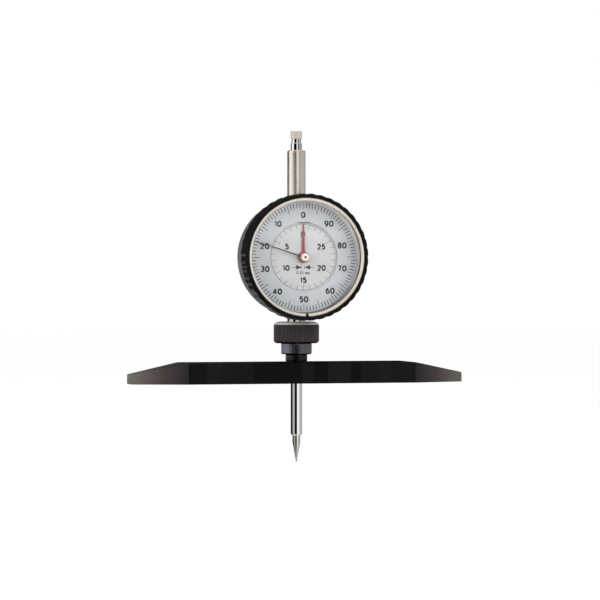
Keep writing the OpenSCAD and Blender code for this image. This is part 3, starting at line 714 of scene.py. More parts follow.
@dataclass(frozen=True)
class ClearCrystal:
    """Moulded acrylic crystal: clear, with a hard reflection, and lets the lamps' light through."""

    name: str = "clear_acrylic_crystal"
    roughness: float = 0.01
    haze_mm: float = 6.0  # size of the clouds of slightly duller gloss

    def material(self) -> bpy.types.Material:
        """Glass mixed with plain transparency for shadow rays.

        Returns:
            The material.
        """
        found = bpy.data.materials.get(self.name)
        if found is not None:
            return found
        made = new_material(self.name)
        tree = made.node_tree
        shader = tree.nodes["Principled BSDF"]
        shader.inputs["Base Color"].default_value = (1.0, 1.0, 1.0, 1.0)
        shader.inputs["Transmission Weight"].default_value = 1.0
        shader.inputs["IOR"].default_value = 1.49
        place = add_node(tree, "TexCoord").outputs["Object"]
        haze = add_node(tree, "TexNoise", Vector=place, Scale=1 / (self.haze_mm * MM), Detail=2.0)
        value = haze.outputs["Fac"]
        rough = add_node(tree, "MapRange", Value=value, To_Min=0.0, To_Max=self.roughness, **NOISE_RANGE)
        tree.links.new(rough.outputs[0], shader.inputs["Roughness"])
        clear = add_node(tree, "BsdfTransparent")
        path = add_node(tree, "LightPath")
        mixed = add_node(
            tree, "MixShader", s0=path.outputs["Is Shadow Ray"], s1=shader.outputs[0], s2=clear.outputs[0]
        )
        tree.links.new(mixed.outputs[0], tree.nodes["Material Output"].inputs["Surface"])
        return made


# Ground steel blackened in hot salts: near black in faint upright bands; the sloped ends are
# painted brown-grey and paler outwards, a painted highlight where they catch the side lamps
BLACK_OXIDE = Finish(
    "black_oxide_ground_steel", "#080707", 0.42, grain=Grain.ACROSS_BAR, grain_mm=1.2, depth_mm=0.002,
    tint="#110f10", cloud_share=1.0, band_mm=5.5, rough_spread=0.05, specular=0.06,
    fades=(
        # painted highlight: the sloped ends get lighter outwards from the kink
        Fade(Measure.REACH, 50.9, 51.1, "#1d1c1f"),
        Fade(Measure.REACH, 51.0, 63.0, "#372f2f"),
        Fade(Measure.REACH, 62.0, 75.0, "#524e49"),
    ),
)
# Turned steel blackened in hot salts: dark blue-grey rings that catch a soft highlight; the
# narrow neck below the collar is painted nearly black, a painted shade under the collar
BLUED_TURNED = Finish(
    "blued_turned_steel", "#474144", 0.12, metallic=1.0, grain=Grain.STEM_RINGS, grain_mm=0.25,
    depth_mm=0.0006, tint="#423c3f", cloud_mm=5.0, rough_spread=0.02,
    # painted shade: the neck below 12.6 mm keeps the dark colour, the collar above it takes the lighter one
    fades=(Fade(Measure.HEIGHT, 12.5, 12.7, "#878490"),),
)
# Knurled steel under black oxide: the ribs are brown-black with their crests painted paler, a
# painted highlight, and the turned shoulder over them is painted near white, a painted highlight
BLACK_KNURLED = Finish(
    "black_oxide_knurled_steel", "#1c1819", 0.42, metallic=0.6, grain=Grain.NONE, grain_mm=0.4,
    depth_mm=0.006, tint="#161213", cloud_mm=3.0, cloud_share=0.7, rough_spread=0.1, specular=0.2,
    fades=(
        # painted highlight on the rib crests
        Fade(Measure.RADIUS, 9.7, 10.0, "#524a4b"),
        # painted highlight: the shoulder is painted near white
        Fade(Measure.HEIGHT, 25.5, 25.8, "#ebe6e3"),
    ),
)
# Die-cast case under satin lacquer: dark grey with a fine orange peel
CASE_LACQUER = Finish(
    "satin_grey_case_lacquer", "#545456", 0.42, grain_mm=0.5, depth_mm=0.006, tint="#4d4d4f",
    cloud_mm=8.0, rough_spread=0.05,
)
# Satin nickel on turned steel: warm pale metal that smears lights along the stem
SATIN_NICKEL = Finish(
    "satin_nickel", "#fcf3e6", 0.29, metallic=1.0, grain=Grain.STEM_RINGS, grain_mm=0.3,
    depth_mm=0.0004, rough_spread=0.008, stretch_light=0.3,
)
# The same nickel on the stem, ground finer: sharp stripes where the clamp and the bezel mirror in it
BRIGHT_NICKEL = Finish(
    "bright_nickel", "#f2ece2", 0.08, metallic=1.0, grain=Grain.STEM_RINGS, grain_mm=0.3,
    depth_mm=0.0002, rough_spread=0.006,
)
# Nickel on a fine diamond knurl: the same metal as the tube, dulled by its own grooves
KNURLED_NICKEL = Finish(
    "knurled_nickel", "#fbf2e0", 0.3, metallic=0.88, grain_mm=0.3, depth_mm=0.001, rough_spread=0.05
)
# Ground and lapped plunger steel: a mirror with the faintest hair lines
POLISHED_STEEL = Finish(
    "lapped_polished_steel", "#f9f8f7", 0.024, metallic=1.0, grain=Grain.ALONG_STEM, grain_mm=0.4,
    depth_mm=0.00005, rough_spread=0.003,
)
# Hardened steel needle, ground to its cone: slightly warmer and softer than the plunger
GROUND_NEEDLE = Finish(
    "ground_needle_steel", "#e6e1d9", 0.11, metallic=1.0, grain=Grain.ALONG_STEM, grain_mm=0.3,
    depth_mm=0.0002, rough_spread=0.01,
)
# Moulded black thermoset bezel: deep black with a low gloss and a moulded skin
MOULDED_BLACK = Finish(
    "moulded_black_bezel", "#070707", 0.28, grain_mm=0.5, depth_mm=0.003, tint="#0b0b0b",
    cloud_mm=6.0, rough_spread=0.06, specular=0.1,
)
# Pale nickel on a turned ring: creamy and bright, smeared round the dial axis; its inner wall and foot are
# painted dark, a painted shade in the gap to the crystal
PALE_NICKEL = Finish(
    "pale_nickel_turned_ring", "#6f685f", 0.3, metallic=0.85, grain=Grain.DIAL_RINGS, grain_mm=0.15,
    # painted shade: the ring is dark behind 18.25 mm and cream in front of 18.7 mm
    depth_mm=0.001, rough_spread=0.03, fades=(Fade(Measure.DEPTH, 18.25, 18.7, "#f3e9dc"),),
)
# Satin anodised slope ring inside the bezel: warm grey, painted paler towards the top as painted
# light, with a painted shade in the gap to the crystal that shows on the right
SATIN_SLOPE = Finish(
    "satin_anodised_slope", "#48443f", 0.45, metallic=0.2, grain=Grain.DIAL_RINGS, grain_mm=0.2,
    depth_mm=0.002, tint="#433f3a", cloud_mm=10.0,
    fades=(
        # painted light: the slope gets lighter upwards
        Fade(Measure.HEIGHT, 33.0, 77.0, "#f4ede4"),
        # painted shade: a dark band next to the crystal, leaning to the right
        Fade(Measure.SIDE_DEPTH, 17.45, 17.65, "#2a231e"),
    ),
)
# Silvered dial sheet, blue-grey white, brushed so finely that it looks matt; its edge and back are painted
# dark, a painted shade at the step down to the inner dial
OUTER_DIAL = Finish(
    "silvered_outer_dial", "#4a4b4e", 0.5, metallic=0.1, grain_mm=0.35, depth_mm=0.0015,
    # painted shade: the sheet is dark everywhere behind its front face
    specular=0.3, fades=(Fade(Measure.DEPTH, 12.2, 12.35, "#c0c5ca"),),
)
# Silvered inner dial, a little warmer than the outer one
INNER_DIAL = Finish(
    "silvered_inner_dial", "#cacbcc", 0.5, metallic=0.1, grain_mm=0.35, depth_mm=0.0015,
    tint="#c5c6c7", cloud_mm=4.0, specular=0.3,
)
# Printing ink for the numbers: dark slate, a little proud of the sheet
DARK_INK = Finish(
    "dark_slate_dial_ink", "#121518", 0.5, specular=0.2, grain_mm=0.2, depth_mm=0.002, tint="#24282e",
    cloud_mm=1.5,
)
# Thinner ink of the division lines: blue-grey
LINE_INK = Finish(
    "blue_grey_line_ink", "#2b343f", 0.5, specular=0.2, grain_mm=0.2, depth_mm=0.002, tint="#48525e",
    cloud_mm=1.5,
)
# Black lacquer on the long hand
BLACK_LACQUER = Finish(
    "black_hand_lacquer", "#17191a", 0.3, grain_mm=0.4, depth_mm=0.002, tint="#1f2222", cloud_mm=3.0
)
# Red lacquer on the short hand
RED_LACQUER = Finish(
    "red_hand_lacquer", "#a31326", 0.32, grain_mm=0.4, depth_mm=0.002, tint="#901223", cloud_mm=2.0,
    coat=0.2,
)
# Pale plated brass cap over the hands
PALE_CAP = Finish(
    "pale_plated_cap", "#fbf3e2", 0.3, metallic=0.6, grain=Grain.DIAL_RINGS, grain_mm=0.12,
    depth_mm=0.001, rough_spread=0.04,
)
# Bare turned steel of screws, arbors and pinions
MACHINED_STEEL = Finish(
    "machined_steel", "#a9a9ac", 0.3, metallic=1.0, grain=Grain.DIAL_RINGS, grain_mm=0.15, depth_mm=0.002
)
# Bearing bronze of the bushes
BEARING_BRONZE = Finish(
    "bearing_bronze", "#b88f55", 0.34, metallic=1.0, grain_mm=0.2, depth_mm=0.002, tint="#a67e48",
    cloud_mm=2.0,
)
# Rolled brass of plates and wheels, brushed flat
BRUSHED_BRASS = Finish(
    "brushed_brass", "#c9a765", 0.33, metallic=1.0, grain=Grain.ALONG_BAR, grain_mm=0.15,
    depth_mm=0.002, tint="#b8965a", cloud_mm=7.0,
)
# Dark metal: the front plate under the dial is painted dark, a painted shade in the gap behind the dials;
# the centre arbor has it too
DARK_METAL = Finish(
    "dark_metal", "#2e2c2a", 0.45, metallic=0.6, grain=Grain.ALONG_BAR, grain_mm=0.2,
    depth_mm=0.002, tint="#383532", cloud_mm=6.0,
)
# Hairspring steel tempered to blue
BLUED_SPRING = Finish(
    "tempered_blue_spring", "#35458a", 0.25, metallic=1.0, grain=Grain.DIAL_RINGS, grain_mm=0.1,
    depth_mm=0.001, tint="#4a3f80", cloud_mm=3.0,
)
# Drawn spring wire of the return spring and the snap wire
DRAWN_WIRE = Finish("drawn_spring_wire", "#8f9096", 0.28, metallic=1.0, grain_mm=0.2, depth_mm=0.001)
CRYSTAL = ClearCrystal()

AnyFinish = Finish | ClearCrystal


# ---------------------------------------------------------------- pieces


SMOOTH_UNDER = math.radians(32)  # edges that turn more than this stay sharp
WELD = 2e-7  # metres within which points of seams and poles become one


def piece(
    name: str,
    shells: list[Shell],
    finish: AnyFinish,
    body: str,
    stands_for: tuple[str, ...] = (),
) -> bpy.types.Object:
    """Makes a finished piece and lets it ride on its body.

    Args:
        name: name of the piece.
        shells: its closed surfaces in millimetres.
        finish: its finish.
        body: the CAD body that it moves with.
        stands_for: CAD nodes that the piece is shown for.

    Returns:
        The object.
    """
    surface = joined(shells)
    corners = np.concatenate([g.ravel() for g in surface.faces])
    sizes = np.concatenate([np.full(len(g), g.shape[1]) for g in surface.faces])
    starts = np.concatenate([[0], np.cumsum(sizes)[:-1]])
    mesh = bpy.data.meshes.new(name)
    mesh.vertices.add(len(surface.points))
    mesh.vertices.foreach_set("co", (surface.points * MM).astype(np.float32).ravel())
    mesh.loops.add(len(corners))
    mesh.loops.foreach_set("vertex_index", corners.astype(np.int32))
    mesh.polygons.add(len(sizes))
    mesh.polygons.foreach_set("loop_start", starts.astype(np.int32))
    mesh.update(calc_edges=True)
    work = bmesh.new()
    work.from_mesh(mesh)
    bmesh.ops.remove_doubles(work, verts=work.verts, dist=WELD)
    work.to_mesh(mesh)
    work.free()
    mesh.validate()
    mesh.shade_smooth()
    mesh.set_sharp_from_angle(angle=SMOOTH_UNDER)
    mesh.materials.append(finish.material())
    made = bpy.data.objects.new(name, mesh)
    bpy.context.scene.collection.objects.link(made)
    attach(made, body)
    if stands_for:
        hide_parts(*stands_for)
    LOG.info("%s: %d faces on %s, %s", name, len(mesh.polygons), body, finish.name)
    return made


def dress(nodes: list[str], finish: AnyFinish) -> None:
    """Gives CAD nodes that are shown as they are a finish.

    Args:
        nodes: names of the nodes.
        finish: the finish.
    """
    for name in nodes:
        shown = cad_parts[name]
        shown.data.materials.clear()
        shown.data.materials.append(finish.material())
        LOG.info("%s: CAD node, %s", name, finish.name)


# ---------------------------------------------------------------- base and clamp


@dataclass
class MeasuringBridge:
    """The long base bar with its pressed-in clamp socket."""

    flat: float = 51.0  # half length of the stretch of full height and width
    end_height: float = 4.25
    end_depth: float = 4.0  # half width of the ends in plan
    top_edge: float = 0.35  # chamfer of the long upper edges
    foot_edge: float = 0.3  # chamfer along the measuring face
    crisp: float = 0.08  # radius where two faces meet
    kink_blend: float = 2.0  # stretch over which the ends begin to slope
    end_blend: float = 0.3  # rounding of the bar's ends
    hole_block: float = 14.0  # half length of the stretch that holds the hole
    hole_r: float = 4.8  # the socket's neck is pressed into it
    hole_lip: float = 0.2  # chamfer at both ends of the hole
    bore_r: float = 4.3  # the hole below the neck
    throat_r: float = 4.05  # bore of the neck
    seat_z: float = 14.85  # where the neck's bore opens into the collet's
    collet_r: float = 5.28  # bore round the collet
    spigot_r: float = 6.03  # threaded end over the collar
    collar_low: float = 12.6
    collar_high: float = 17.3
    collar_edge: float = 0.4  # chamfer at the collar's foot
    undercut: float = 0.25  # depth of the groove where the neck leaves the bar
    undercut_high: float = 0.5  # its top over the bar

    def __post_init__(self) -> None:
        """Reads the bar's box and the socket's from the frame."""
        box = extent("base_bar")
        self.half, self.depth, self.height = box.right, box.front, box.high
        self.socket = extent("clamp_socket")

    def section(self, x: Array) -> tuple[Array, Array]:
        """Half width and height of the bar at a distance from its middle.

        Both fall in a straight line from the flat stretch to the end. A soft ramp
        (t + sqrt(t^2 + b^2)) / 2 of the distance t past the flat stretch rounds the kink; it is 0
        over the block that holds the hole.

        Args:
            x: distance from the middle.

        Returns:
            Half width and height.
        """
        past = np.abs(x) - self.flat
        b = self.kink_blend / 4
        ramp = np.where(np.abs(x) > self.hole_block, (past + np.sqrt(past**2 + b**2)) / 2, 0)
        reach = (self.half - self.flat + np.sqrt((self.half - self.flat) ** 2 + b**2)) / 2
        share = ramp / reach
        return (
            self.depth + (self.end_depth - self.depth) * share,
            self.height + (self.end_height - self.height) * share,
        )

    def outline(self, width: float, height: float) -> Array:
        """Cross-section with chamfered long edges, anti-clockwise from the top's left edge."""
        t, f, c = self.top_edge, self.foot_edge, self.crisp
        return rounded(
            [
                (-width + t, height, c), (-width, height - t, c), (-width, f, c), (-width + f, 0, c),
                (width - f, 0, c), (width, f, c), (width, height - t, c), (width - t, height, c),
            ],
            steps=2,
        )

    def bar(self) -> Shell:
        """The bar as a cross-section carried along x, with the block round the hole made apart.

        Each station is the middle section, moved so that its corners keep their shape while the
        flats between them change length. The ends shrink by a quarter arc.

        Returns:
            The closed surface.
        """
        base = self.outline(self.depth, self.height)
        side = np.sign(base[:, 0])
        upper = base[:, 1] > self.height / 2
        count = len(base)
        arm = np.concatenate(
            [
                np.linspace(self.hole_block, self.flat - self.kink_blend, 8),
                np.linspace(self.flat - self.kink_blend, self.flat + self.kink_blend, 15)[1:],
                np.linspace(self.flat + self.kink_blend, self.half - self.end_blend, 6)[1:],
            ]
        )
        turn = np.linspace(0, math.pi / 2, 4)[1:]
        tip = self.half - self.end_blend * (1 - np.sin(turn))
        shrink = np.concatenate([np.zeros(len(arm)), self.end_blend * (1 - np.cos(turn))])
        arm = np.concatenate([arm, tip])
        middle = np.linspace(-self.hole_block, self.hole_block, 29)
        x = np.concatenate([-arm[::-1], middle[1:-1], arm])
        inset = np.concatenate([shrink[::-1], np.zeros(len(middle) - 2), shrink])
        width, height = self.section(x)
        y = base[None, :, 0] + side[None] * (width - self.depth - inset)[:, None]
        z = base[None, :, 1] + np.where(
            upper[None], (height - self.height - inset)[:, None], inset[:, None]
        )
        points = np.stack([np.broadcast_to(x[:, None], y.shape), y, z], axis=-1)
        body = grid(points, round_columns=True)
        # The top and the measuring face are left out over the block that holds the hole
        cells = body.faces[0].reshape(len(x) - 1, count, 4)
        first, last = len(arm) - 1, len(x) - len(arm)
        step = np.roll(base, -1, axis=0) - base
        flat_part = (np.abs(step[:, 0]) > self.depth) & (np.abs(step[:, 1]) < SAME_PLACE)
        keep = np.ones(cells.shape[:2], bool)
        keep[first:last, flat_part] = False
        ring = np.arange(count)[None]
        body.faces = [cells[keep], ring[:, ::-1], ring + (len(x) - 1) * count]
        edge_top, edge_foot = (
            float(base[np.abs(base[:, 1] - level) < SAME_PLACE, 0].max()) for level in (self.height, 0)
        )
        return joined([body, self.hole(middle, edge_top, edge_foot)]).outward()

    def hole(self, stations: Array, edge_top: float, edge_foot: float) -> Shell:
        """Faces round the stepped hole: rays from a rectangle's edge to a circle, then the bore.

        Args:
            stations: x of the points on the long sides.
            edge_top: half width of the top face.
            edge_foot: half width of the measuring face.

        Returns:
            The surface, which the bar's body closes.
        """

        def loop(edge: float) -> Array:
            """Rectangle through the stations and the corners, anti-clockwise.

            Args:
                edge: half width of the rectangle.

            Returns:
                Its points.
            """
            front = np.stack([stations, np.full_like(stations, -edge)], axis=1)
            back = np.stack([stations[::-1], np.full_like(stations, edge)], axis=1)
            return np.concatenate([front, back])

        def circle(edge: float, radius: float) -> Array:
            """Points on the circle in the directions of the rectangle's points."""
            square = loop(edge)
            return square / np.linalg.norm(square, axis=1, keepdims=True) * radius

        lip, seat = self.hole_lip, self.socket.low
        rings = [
            (loop(edge_top), self.height),
            (circle(edge_top, self.hole_r + lip), self.height),
            (circle(edge_top, self.hole_r), self.height - lip),
            (circle(edge_top, self.hole_r), seat),
            (circle(edge_top, self.bore_r), seat),
            (circle(edge_top, self.bore_r), lip),
            (circle(edge_top, self.bore_r + lip), 0.0),
            (loop(edge_foot), 0.0),
        ]
        points = np.stack([np.column_stack([ring, np.full(len(ring), z)]) for ring, z in rings])
        return grid(points, round_columns=True)

    def socket_shell(self) -> Shell:
        """Neck, collar and threaded spigot with their bores, as one turned outline.

        Returns:
            The closed surface.
        """
        low, high, collar = self.socket.low, self.socket.high, self.socket.half_width
        neck, top, edge = self.hole_r, self.height, self.collar_edge
        groove_r, groove_top = neck - self.undercut, top + self.undercut_high
        return lathe(
            [
                (self.throat_r, low, 0.1), (neck, low, 0.1), (neck, top, 0.05), (groove_r, top + 0.05, 0.1),
                (groove_r, groove_top, 0.1), (neck, groove_top + 0.05, 0.05), (neck, self.collar_low, 0.35),
                (collar - edge, self.collar_low, 0.15), (collar, self.collar_low + edge, 0.15),
                (collar, self.collar_high, 0.15), (self.spigot_r, self.collar_high, 0.1),
                (self.spigot_r, high, 0.2), (self.collet_r, high, 0.1), (self.collet_r, self.seat_z, 0.1),
                (self.throat_r, self.seat_z, 0.1),
            ],
            Axis.STEM, steps=4, longest=0.3,
        )

    def build(self) -> None:
        """Makes both pieces."""
        piece("bar_ground", [self.bar()], BLACK_OXIDE, "base", ("base_bar",))
        piece(
            "socket_turned", [self.socket_shell()], BLUED_TURNED, "base", ("clamp_socket",)
        )


@dataclass
class ClampNut:
    """The knurled nut, which draws the collet shut."""

    ribs: int = 72
    rib_depth: float = 0.3
    rib_round: float = 0.8  # power of the groove's depth that rounds its V
    groove_share: float = 0.36  # half width of the groove between two ribs, as a share of their pitch
    foot: float = 0.9  # chamfer of the lower edge
    shoulder: float = 2.0  # width of the convex shoulder
    shoulder_drop: float = 1.44  # its height
    crown_in: float = 0.82  # the shoulder's crown lies this far in from the side
    crown_drop: float = 0.46  # and this far below the top
    bore_r: float = 6.08
    top_hole_r: float = 4.3
    cone_low: tuple[float, float] = (5.38, 22.7)  # radius and height of the cone that grips the collet
    cone_high: tuple[float, float] = (4.68, 25.5)

    def __post_init__(self) -> None:
        """Reads the nut's box from the frame."""
        self.box = extent("clamp_nut")

    def ribbed(self, angle: Array, height: Array) -> Array:
        """Greatest radius under the ribs: the outer radius less a rounded V in each pitch.

        Args:
            angle: round the stem axis, in radians.
            height: height over the measuring face.

        Returns:
            The radius at each point.
        """
        turn = (angle / TAU * self.ribs) % 1.0
        groove = np.clip(1 - np.abs(turn - 0.5) / self.groove_share, 0, 1)
        depth = self.rib_depth * groove**self.rib_round
        return np.broadcast_to(self.box.half_width - depth, height.shape)

    def build(self) -> None:
        """Makes the nut."""
        r, low, high = self.box.half_width, self.box.low, self.box.high
        shell = lathe(
            [
                (self.bore_r, low, 0.15), (r - self.foot, low, 0.2), (r, low + self.foot, 0.25),
                (r, high - self.shoulder_drop, 0.5), (r - self.crown_in, high - self.crown_drop, 1.4),
                (r - self.shoulder, high, 0.5), (self.top_hole_r, high, 0.15),
                (self.top_hole_r, self.cone_high[1], 0.05), (*self.cone_high, 0.05), (*self.cone_low, 0.1),
                (self.bore_r, self.cone_low[1], 0.05),
            ],
            Axis.STEM, longest=0.35, sides=self.ribs * 8, limit=self.ribbed,
        )
        piece("nut_knurled", [shell], BLACK_KNURLED, "nut", ("clamp_nut",))
        dress(["collet"], MACHINED_STEEL)


# ---------------------------------------------------------------- case, stem and guide tube


@dataclass
class CaseAssembly:
    """Case ring, back cover, stem, guide tube and their bushes."""

    draft: float = 1.0  # radius that the case gains from its front to its back
    skin: float = 0.6  # outer part of the wall that widens, its inner half by less

    def build(self) -> None:
        """Makes the outer pieces and dresses the screws and bushes."""
        tube, stem, bush = extent("guide_tube"), extent("stem"), extent("upper_bush")
        piece("case_drafted", [self.ring()], CASE_LACQUER, "gauge", ("case",))
        dress(["back_cover"], CASE_LACQUER)
        dress(["cover_screws"], MACHINED_STEEL)
        self.pipe("tube_satin", tube, bush.half_width, (0.15, 0.55), "guide_tube", SATIN_NICKEL)
        self.pipe("stem_bright", stem, bush.half_width, (0.4, 0.15), "stem", BRIGHT_NICKEL)
        dress(["upper_bush", "lower_bush"], BEARING_BRONZE)

    def ring(self) -> Shell:
        """The case ring with its casting draft.

        A point of the outer wall moves out from the dial axis in proportion to its distance from
        the front. Points deeper in the wall than its skin stay.

        Returns:
            The closed surface.
        """
        box = extent("case")
        shell = cad_shell("case")
        x, y, z = shell.points.T
        radius = np.hypot(x, z - DIAL_Z)
        share = np.clip((box.front + y) / (box.front - box.back), 0, 1)
        outer = np.clip((radius - box.half_width + self.skin) / (self.skin / 2), 0, 1)
        grow = 1 + self.draft * share * outer / radius
        shell.points = np.stack([x * grow, y, DIAL_Z + (z - DIAL_Z) * grow], axis=1)
        return shell

    def pipe(
        self, name: str, box: Extent, bore: float, edges: tuple[float, float], node: str, finish: Finish
    ) -> None:
        """Makes a pipe round the stem axis.

        Args:
            name: name of the piece.
            box: box of the CAD node.
            bore: radius of the bore.
            edges: radii of the lower and the upper outer edge.
            node: the CAD node that it stands for.
            finish: its finish.
        """
        r = box.half_width
        shell = lathe(
            [(bore, box.low, 0.1), (r, box.low, edges[0]), (r, box.high, edges[1]), (bore, box.high, 0.1)],
            Axis.STEM, steps=6, longest=1.0,
        )
        piece(name, [shell], finish, "gauge", (node,))


# ---------------------------------------------------------------- bezel with crystal


@dataclass
class BezelAssembly:
    """Scalloped bezel, split ring, crystal, slope ring and snap wire."""

    scallops: int = 40
    scallop_depth: float = 0.3
    scallop_r: float = 3.2
    rim_r: float = 27.6  # outer radius between the scallops
    short_of: float = 1.1  # the rim ends this far before the CAD ring's back
    bore_r: float = 24.55  # the bezel turns on the case with it
    case_gap: float = 0.2  # between the case's front and the bezel's lip
    lip_r: float = 23.05
    seat_r: float = 25.1
    dial_sheet: float = 0.5  # thickness of the dial, which lies under the slope ring
    ring_inner_r: float = 24.4
    ring_foot: float = 0.4  # height of the split ring's foot on the crystal
    gap_width: float = 1.4  # of the split ring at six o'clock
    gap_r: float = 25.0  # where that width is taken
    slope_foot_r: float = 23.55
    slope_top_r: float = 24.5

    def scalloped(self, angle: Array, along: Array) -> Array:
        """Greatest radius between the scallops.

        Each scallop is a circle of radius s whose centre lies c from the axis. On a ray at angle
        a from the centre's direction it is met at c cos a - sqrt(s^2 - (c sin a)^2).

        Args:
            angle: round the dial axis, in radians.
            along: distance along the dial axis.

        Returns:
            The radius at each point.
        """
        pitch = TAU / self.scallops
        off = (angle + pitch / 2) % pitch - pitch / 2
        centre = self.rim_r + self.scallop_r - self.scallop_depth
        under = self.scallop_r**2 - (centre * np.sin(off)) ** 2
        met = centre * np.cos(off) - np.sqrt(np.maximum(under, 0))
        return np.broadcast_to(np.where(under > 0, met, FREE), along.shape)

    def build(self) -> None:
        """Makes the bezel's pieces."""
        bezel, ring = extent("bezel"), extent("split_ring")
        slope, crystal, case = extent("slope_ring"), extent("crystal"), extent("case")
        r, ring_r, seat, lip, bore = self.rim_r, ring.half_width, self.seat_r, self.lip_r, self.bore_r
        back, front = bezel.back + self.short_of, bezel.front
        dial_back, lip_back = slope.back - self.dial_sheet, case.front + self.case_gap
        ring_step = crystal.front + self.ring_foot
        shell = lathe(
            [
                (bore, back, 0.15), (r - 0.3, back, 0.3), (r, back + 0.5, 0.3), (r, front - 0.9, 0.5),
                (r - 0.8, front, 0.5), (ring_r + 0.1, front, 0.12), (ring_r, front - 0.3, 0.05),
                (ring_r, ring_step, 0.02), (seat, ring_step, 0.02), (seat, dial_back, 0.02),
                (lip, dial_back, 0.05), (lip, lip_back, 0.05), (bore, lip_back, 0.05),
            ],
            Axis.DIAL, steps=4, longest=0.6, sides=self.scallops * 16, limit=self.scalloped,
        )
        piece("bezel_moulded", [shell], MOULDED_BLACK, "bezel", ("bezel",))
        self.ring(ring, crystal.front)
        self.slope(slope)
        self.crystal(crystal)
        dress(["snap_wire"], DRAWN_WIRE)

    def ring(self, box: Extent, low: float) -> None:
        """Makes the pale split ring with its gap at six o'clock.

        Args:
            box: box of the split ring.
            low: where its foot stands on the crystal.
        """
        inner, seat, outer = self.ring_inner_r, self.seat_r, box.half_width
        step, high = low + self.ring_foot, box.front
        line = rounded(
            [
                (inner, low, 0.03), (seat, low, 0.03), (seat, step, 0.03), (outer, step, 0.03),
                (outer, high - 0.3, 0.15), (outer - 0.3, high, 0.2), (inner + 0.35, high, 0.2),
                (inner, high - 0.4, 0.15),
            ],
            steps=5,
        )
        half_gap = math.degrees(math.asin(self.gap_width / 2 / self.gap_r))
        shell = sector(refined(line, 0.15), Axis.DIAL, -90 + half_gap, 270 - half_gap, 220)
        piece("ring_pale", [shell], PALE_NICKEL, "bezel", ("split_ring",))

    def slope(self, box: Extent) -> None:
        """Makes the sloped ring between the dial and the crystal."""
        shell = lathe(
            [
                (box.half_width, box.back, 0.02), (self.slope_foot_r, box.back, 0.1),
                (self.slope_top_r, box.front, 0.05), (box.half_width, box.front, 0.02),
            ],
            Axis.DIAL, steps=3, longest=0.8, sides=200,
        )
        piece("slope_satin", [shell], SATIN_SLOPE, "bezel", ("slope_ring",))

    def crystal(self, box: Extent) -> None:
        """Makes the flat crystal."""
        shell = lathe(
            [
                (0, box.back, 0), (box.half_width, box.back, 0.03), (box.half_width, box.front, 0.15),
                (0, box.front, 0),
            ],
            Axis.DIAL, sides=160, closed=False,
        )
        piece("crystal_clear", [shell], CRYSTAL, "bezel", ("crystal",))


# ---------------------------------------------------------------- dials


class Weight(Enum):
    """How bold a number is: the width of its lines as a share of its height."""

    REGULAR = 0.24
    SMALL = 0.17


def bow(x: float, y: float, rx: float, ry: float, start: float, end: float) -> list[tuple[float, float]]:
    """Points about every 15 degrees on an arc of an ellipse round x, y, between two angles in degrees."""
    a = np.radians(np.linspace(start, end, max(4, int(abs(end - start) / 15)) + 1))
    return list(zip(x + rx * np.cos(a), y + ry * np.sin(a)))


@dataclass(frozen=True)
class Letter:
    """A letter as the middle lines of its strokes, on a height of 1."""

    width: float
    lines: tuple[list[tuple[float, float]], ...] = ()  # strokes with two ends
    loops: tuple[list[tuple[float, float]], ...] = ()  # strokes that close on themselves

    def upside_down(self) -> "Letter":
        """The letter turned by half a turn."""
        lines, loops = (
            tuple([(self.width - x, 1 - y) for x, y in line] for line in part)
            for part in (self.lines, self.loops)
        )
        return Letter(self.width, lines, loops)


# The signs that the dials need, drawn with plain strokes
SIX = Letter(
    0.62, lines=(bow(0.46, 0.34, 0.46, 0.66, 178, 88),), loops=(bow(0.31, 0.31, 0.31, 0.31, 0, 345),)
)
ARCH = bow(0.17, 0.44, 0.17, 0.22, 180, 0)
LETTERS = {
    "0": Letter(0.66, loops=(bow(0.33, 0.64, 0.33, 0.36, 0, 180) + bow(0.33, 0.36, 0.33, 0.36, 180, 360),)),
    "1": Letter(0.24, lines=([(0.0, 0.74), (0.24, 1.0), (0.24, 0.0)],)),
    "2": Letter(0.6, lines=(bow(0.3, 0.71, 0.29, 0.29, 165, -38) + [(0.0, 0.0), (0.6, 0.0)],)),
    "3": Letter(0.58, lines=(
        bow(0.28, 0.76, 0.25, 0.24, 155, -90) + [(0.18, 0.52)],
        [(0.2, 0.52)] + bow(0.28, 0.26, 0.3, 0.26, 90, -155),
    )),
    "4": Letter(0.66, lines=([(0.47, 0.0), (0.47, 1.0)], [(0.42, 1.0), (0.0, 0.27), (0.66, 0.27)])),
    "5": Letter(0.57, lines=(
        [(0.52, 1.0), (0.11, 1.0), (0.05, 0.46)], bow(0.28, 0.31, 0.29, 0.31, 145, -148),
    )),
    "6": SIX,
    "7": Letter(0.56, lines=([(0.0, 1.0), (0.56, 1.0), (0.17, 0.0)],)),
    "8": Letter(0.6, loops=(bow(0.3, 0.76, 0.24, 0.24, 0, 345), bow(0.3, 0.27, 0.3, 0.27, 0, 345))),
    "9": SIX.upside_down(),
    ".": Letter(0.14, lines=([(0.0, 0.0), (0.07, 0.0), (0.14, 0.0)],)),
    "m": Letter(0.68, lines=(
        [(0.0, 0.0), (0.0, 0.66)], ARCH + [(0.34, 0.0)], [(x + 0.34, y) for x, y in ARCH] + [(0.68, 0.0)],
    )),
    " ": Letter(0.3),
}


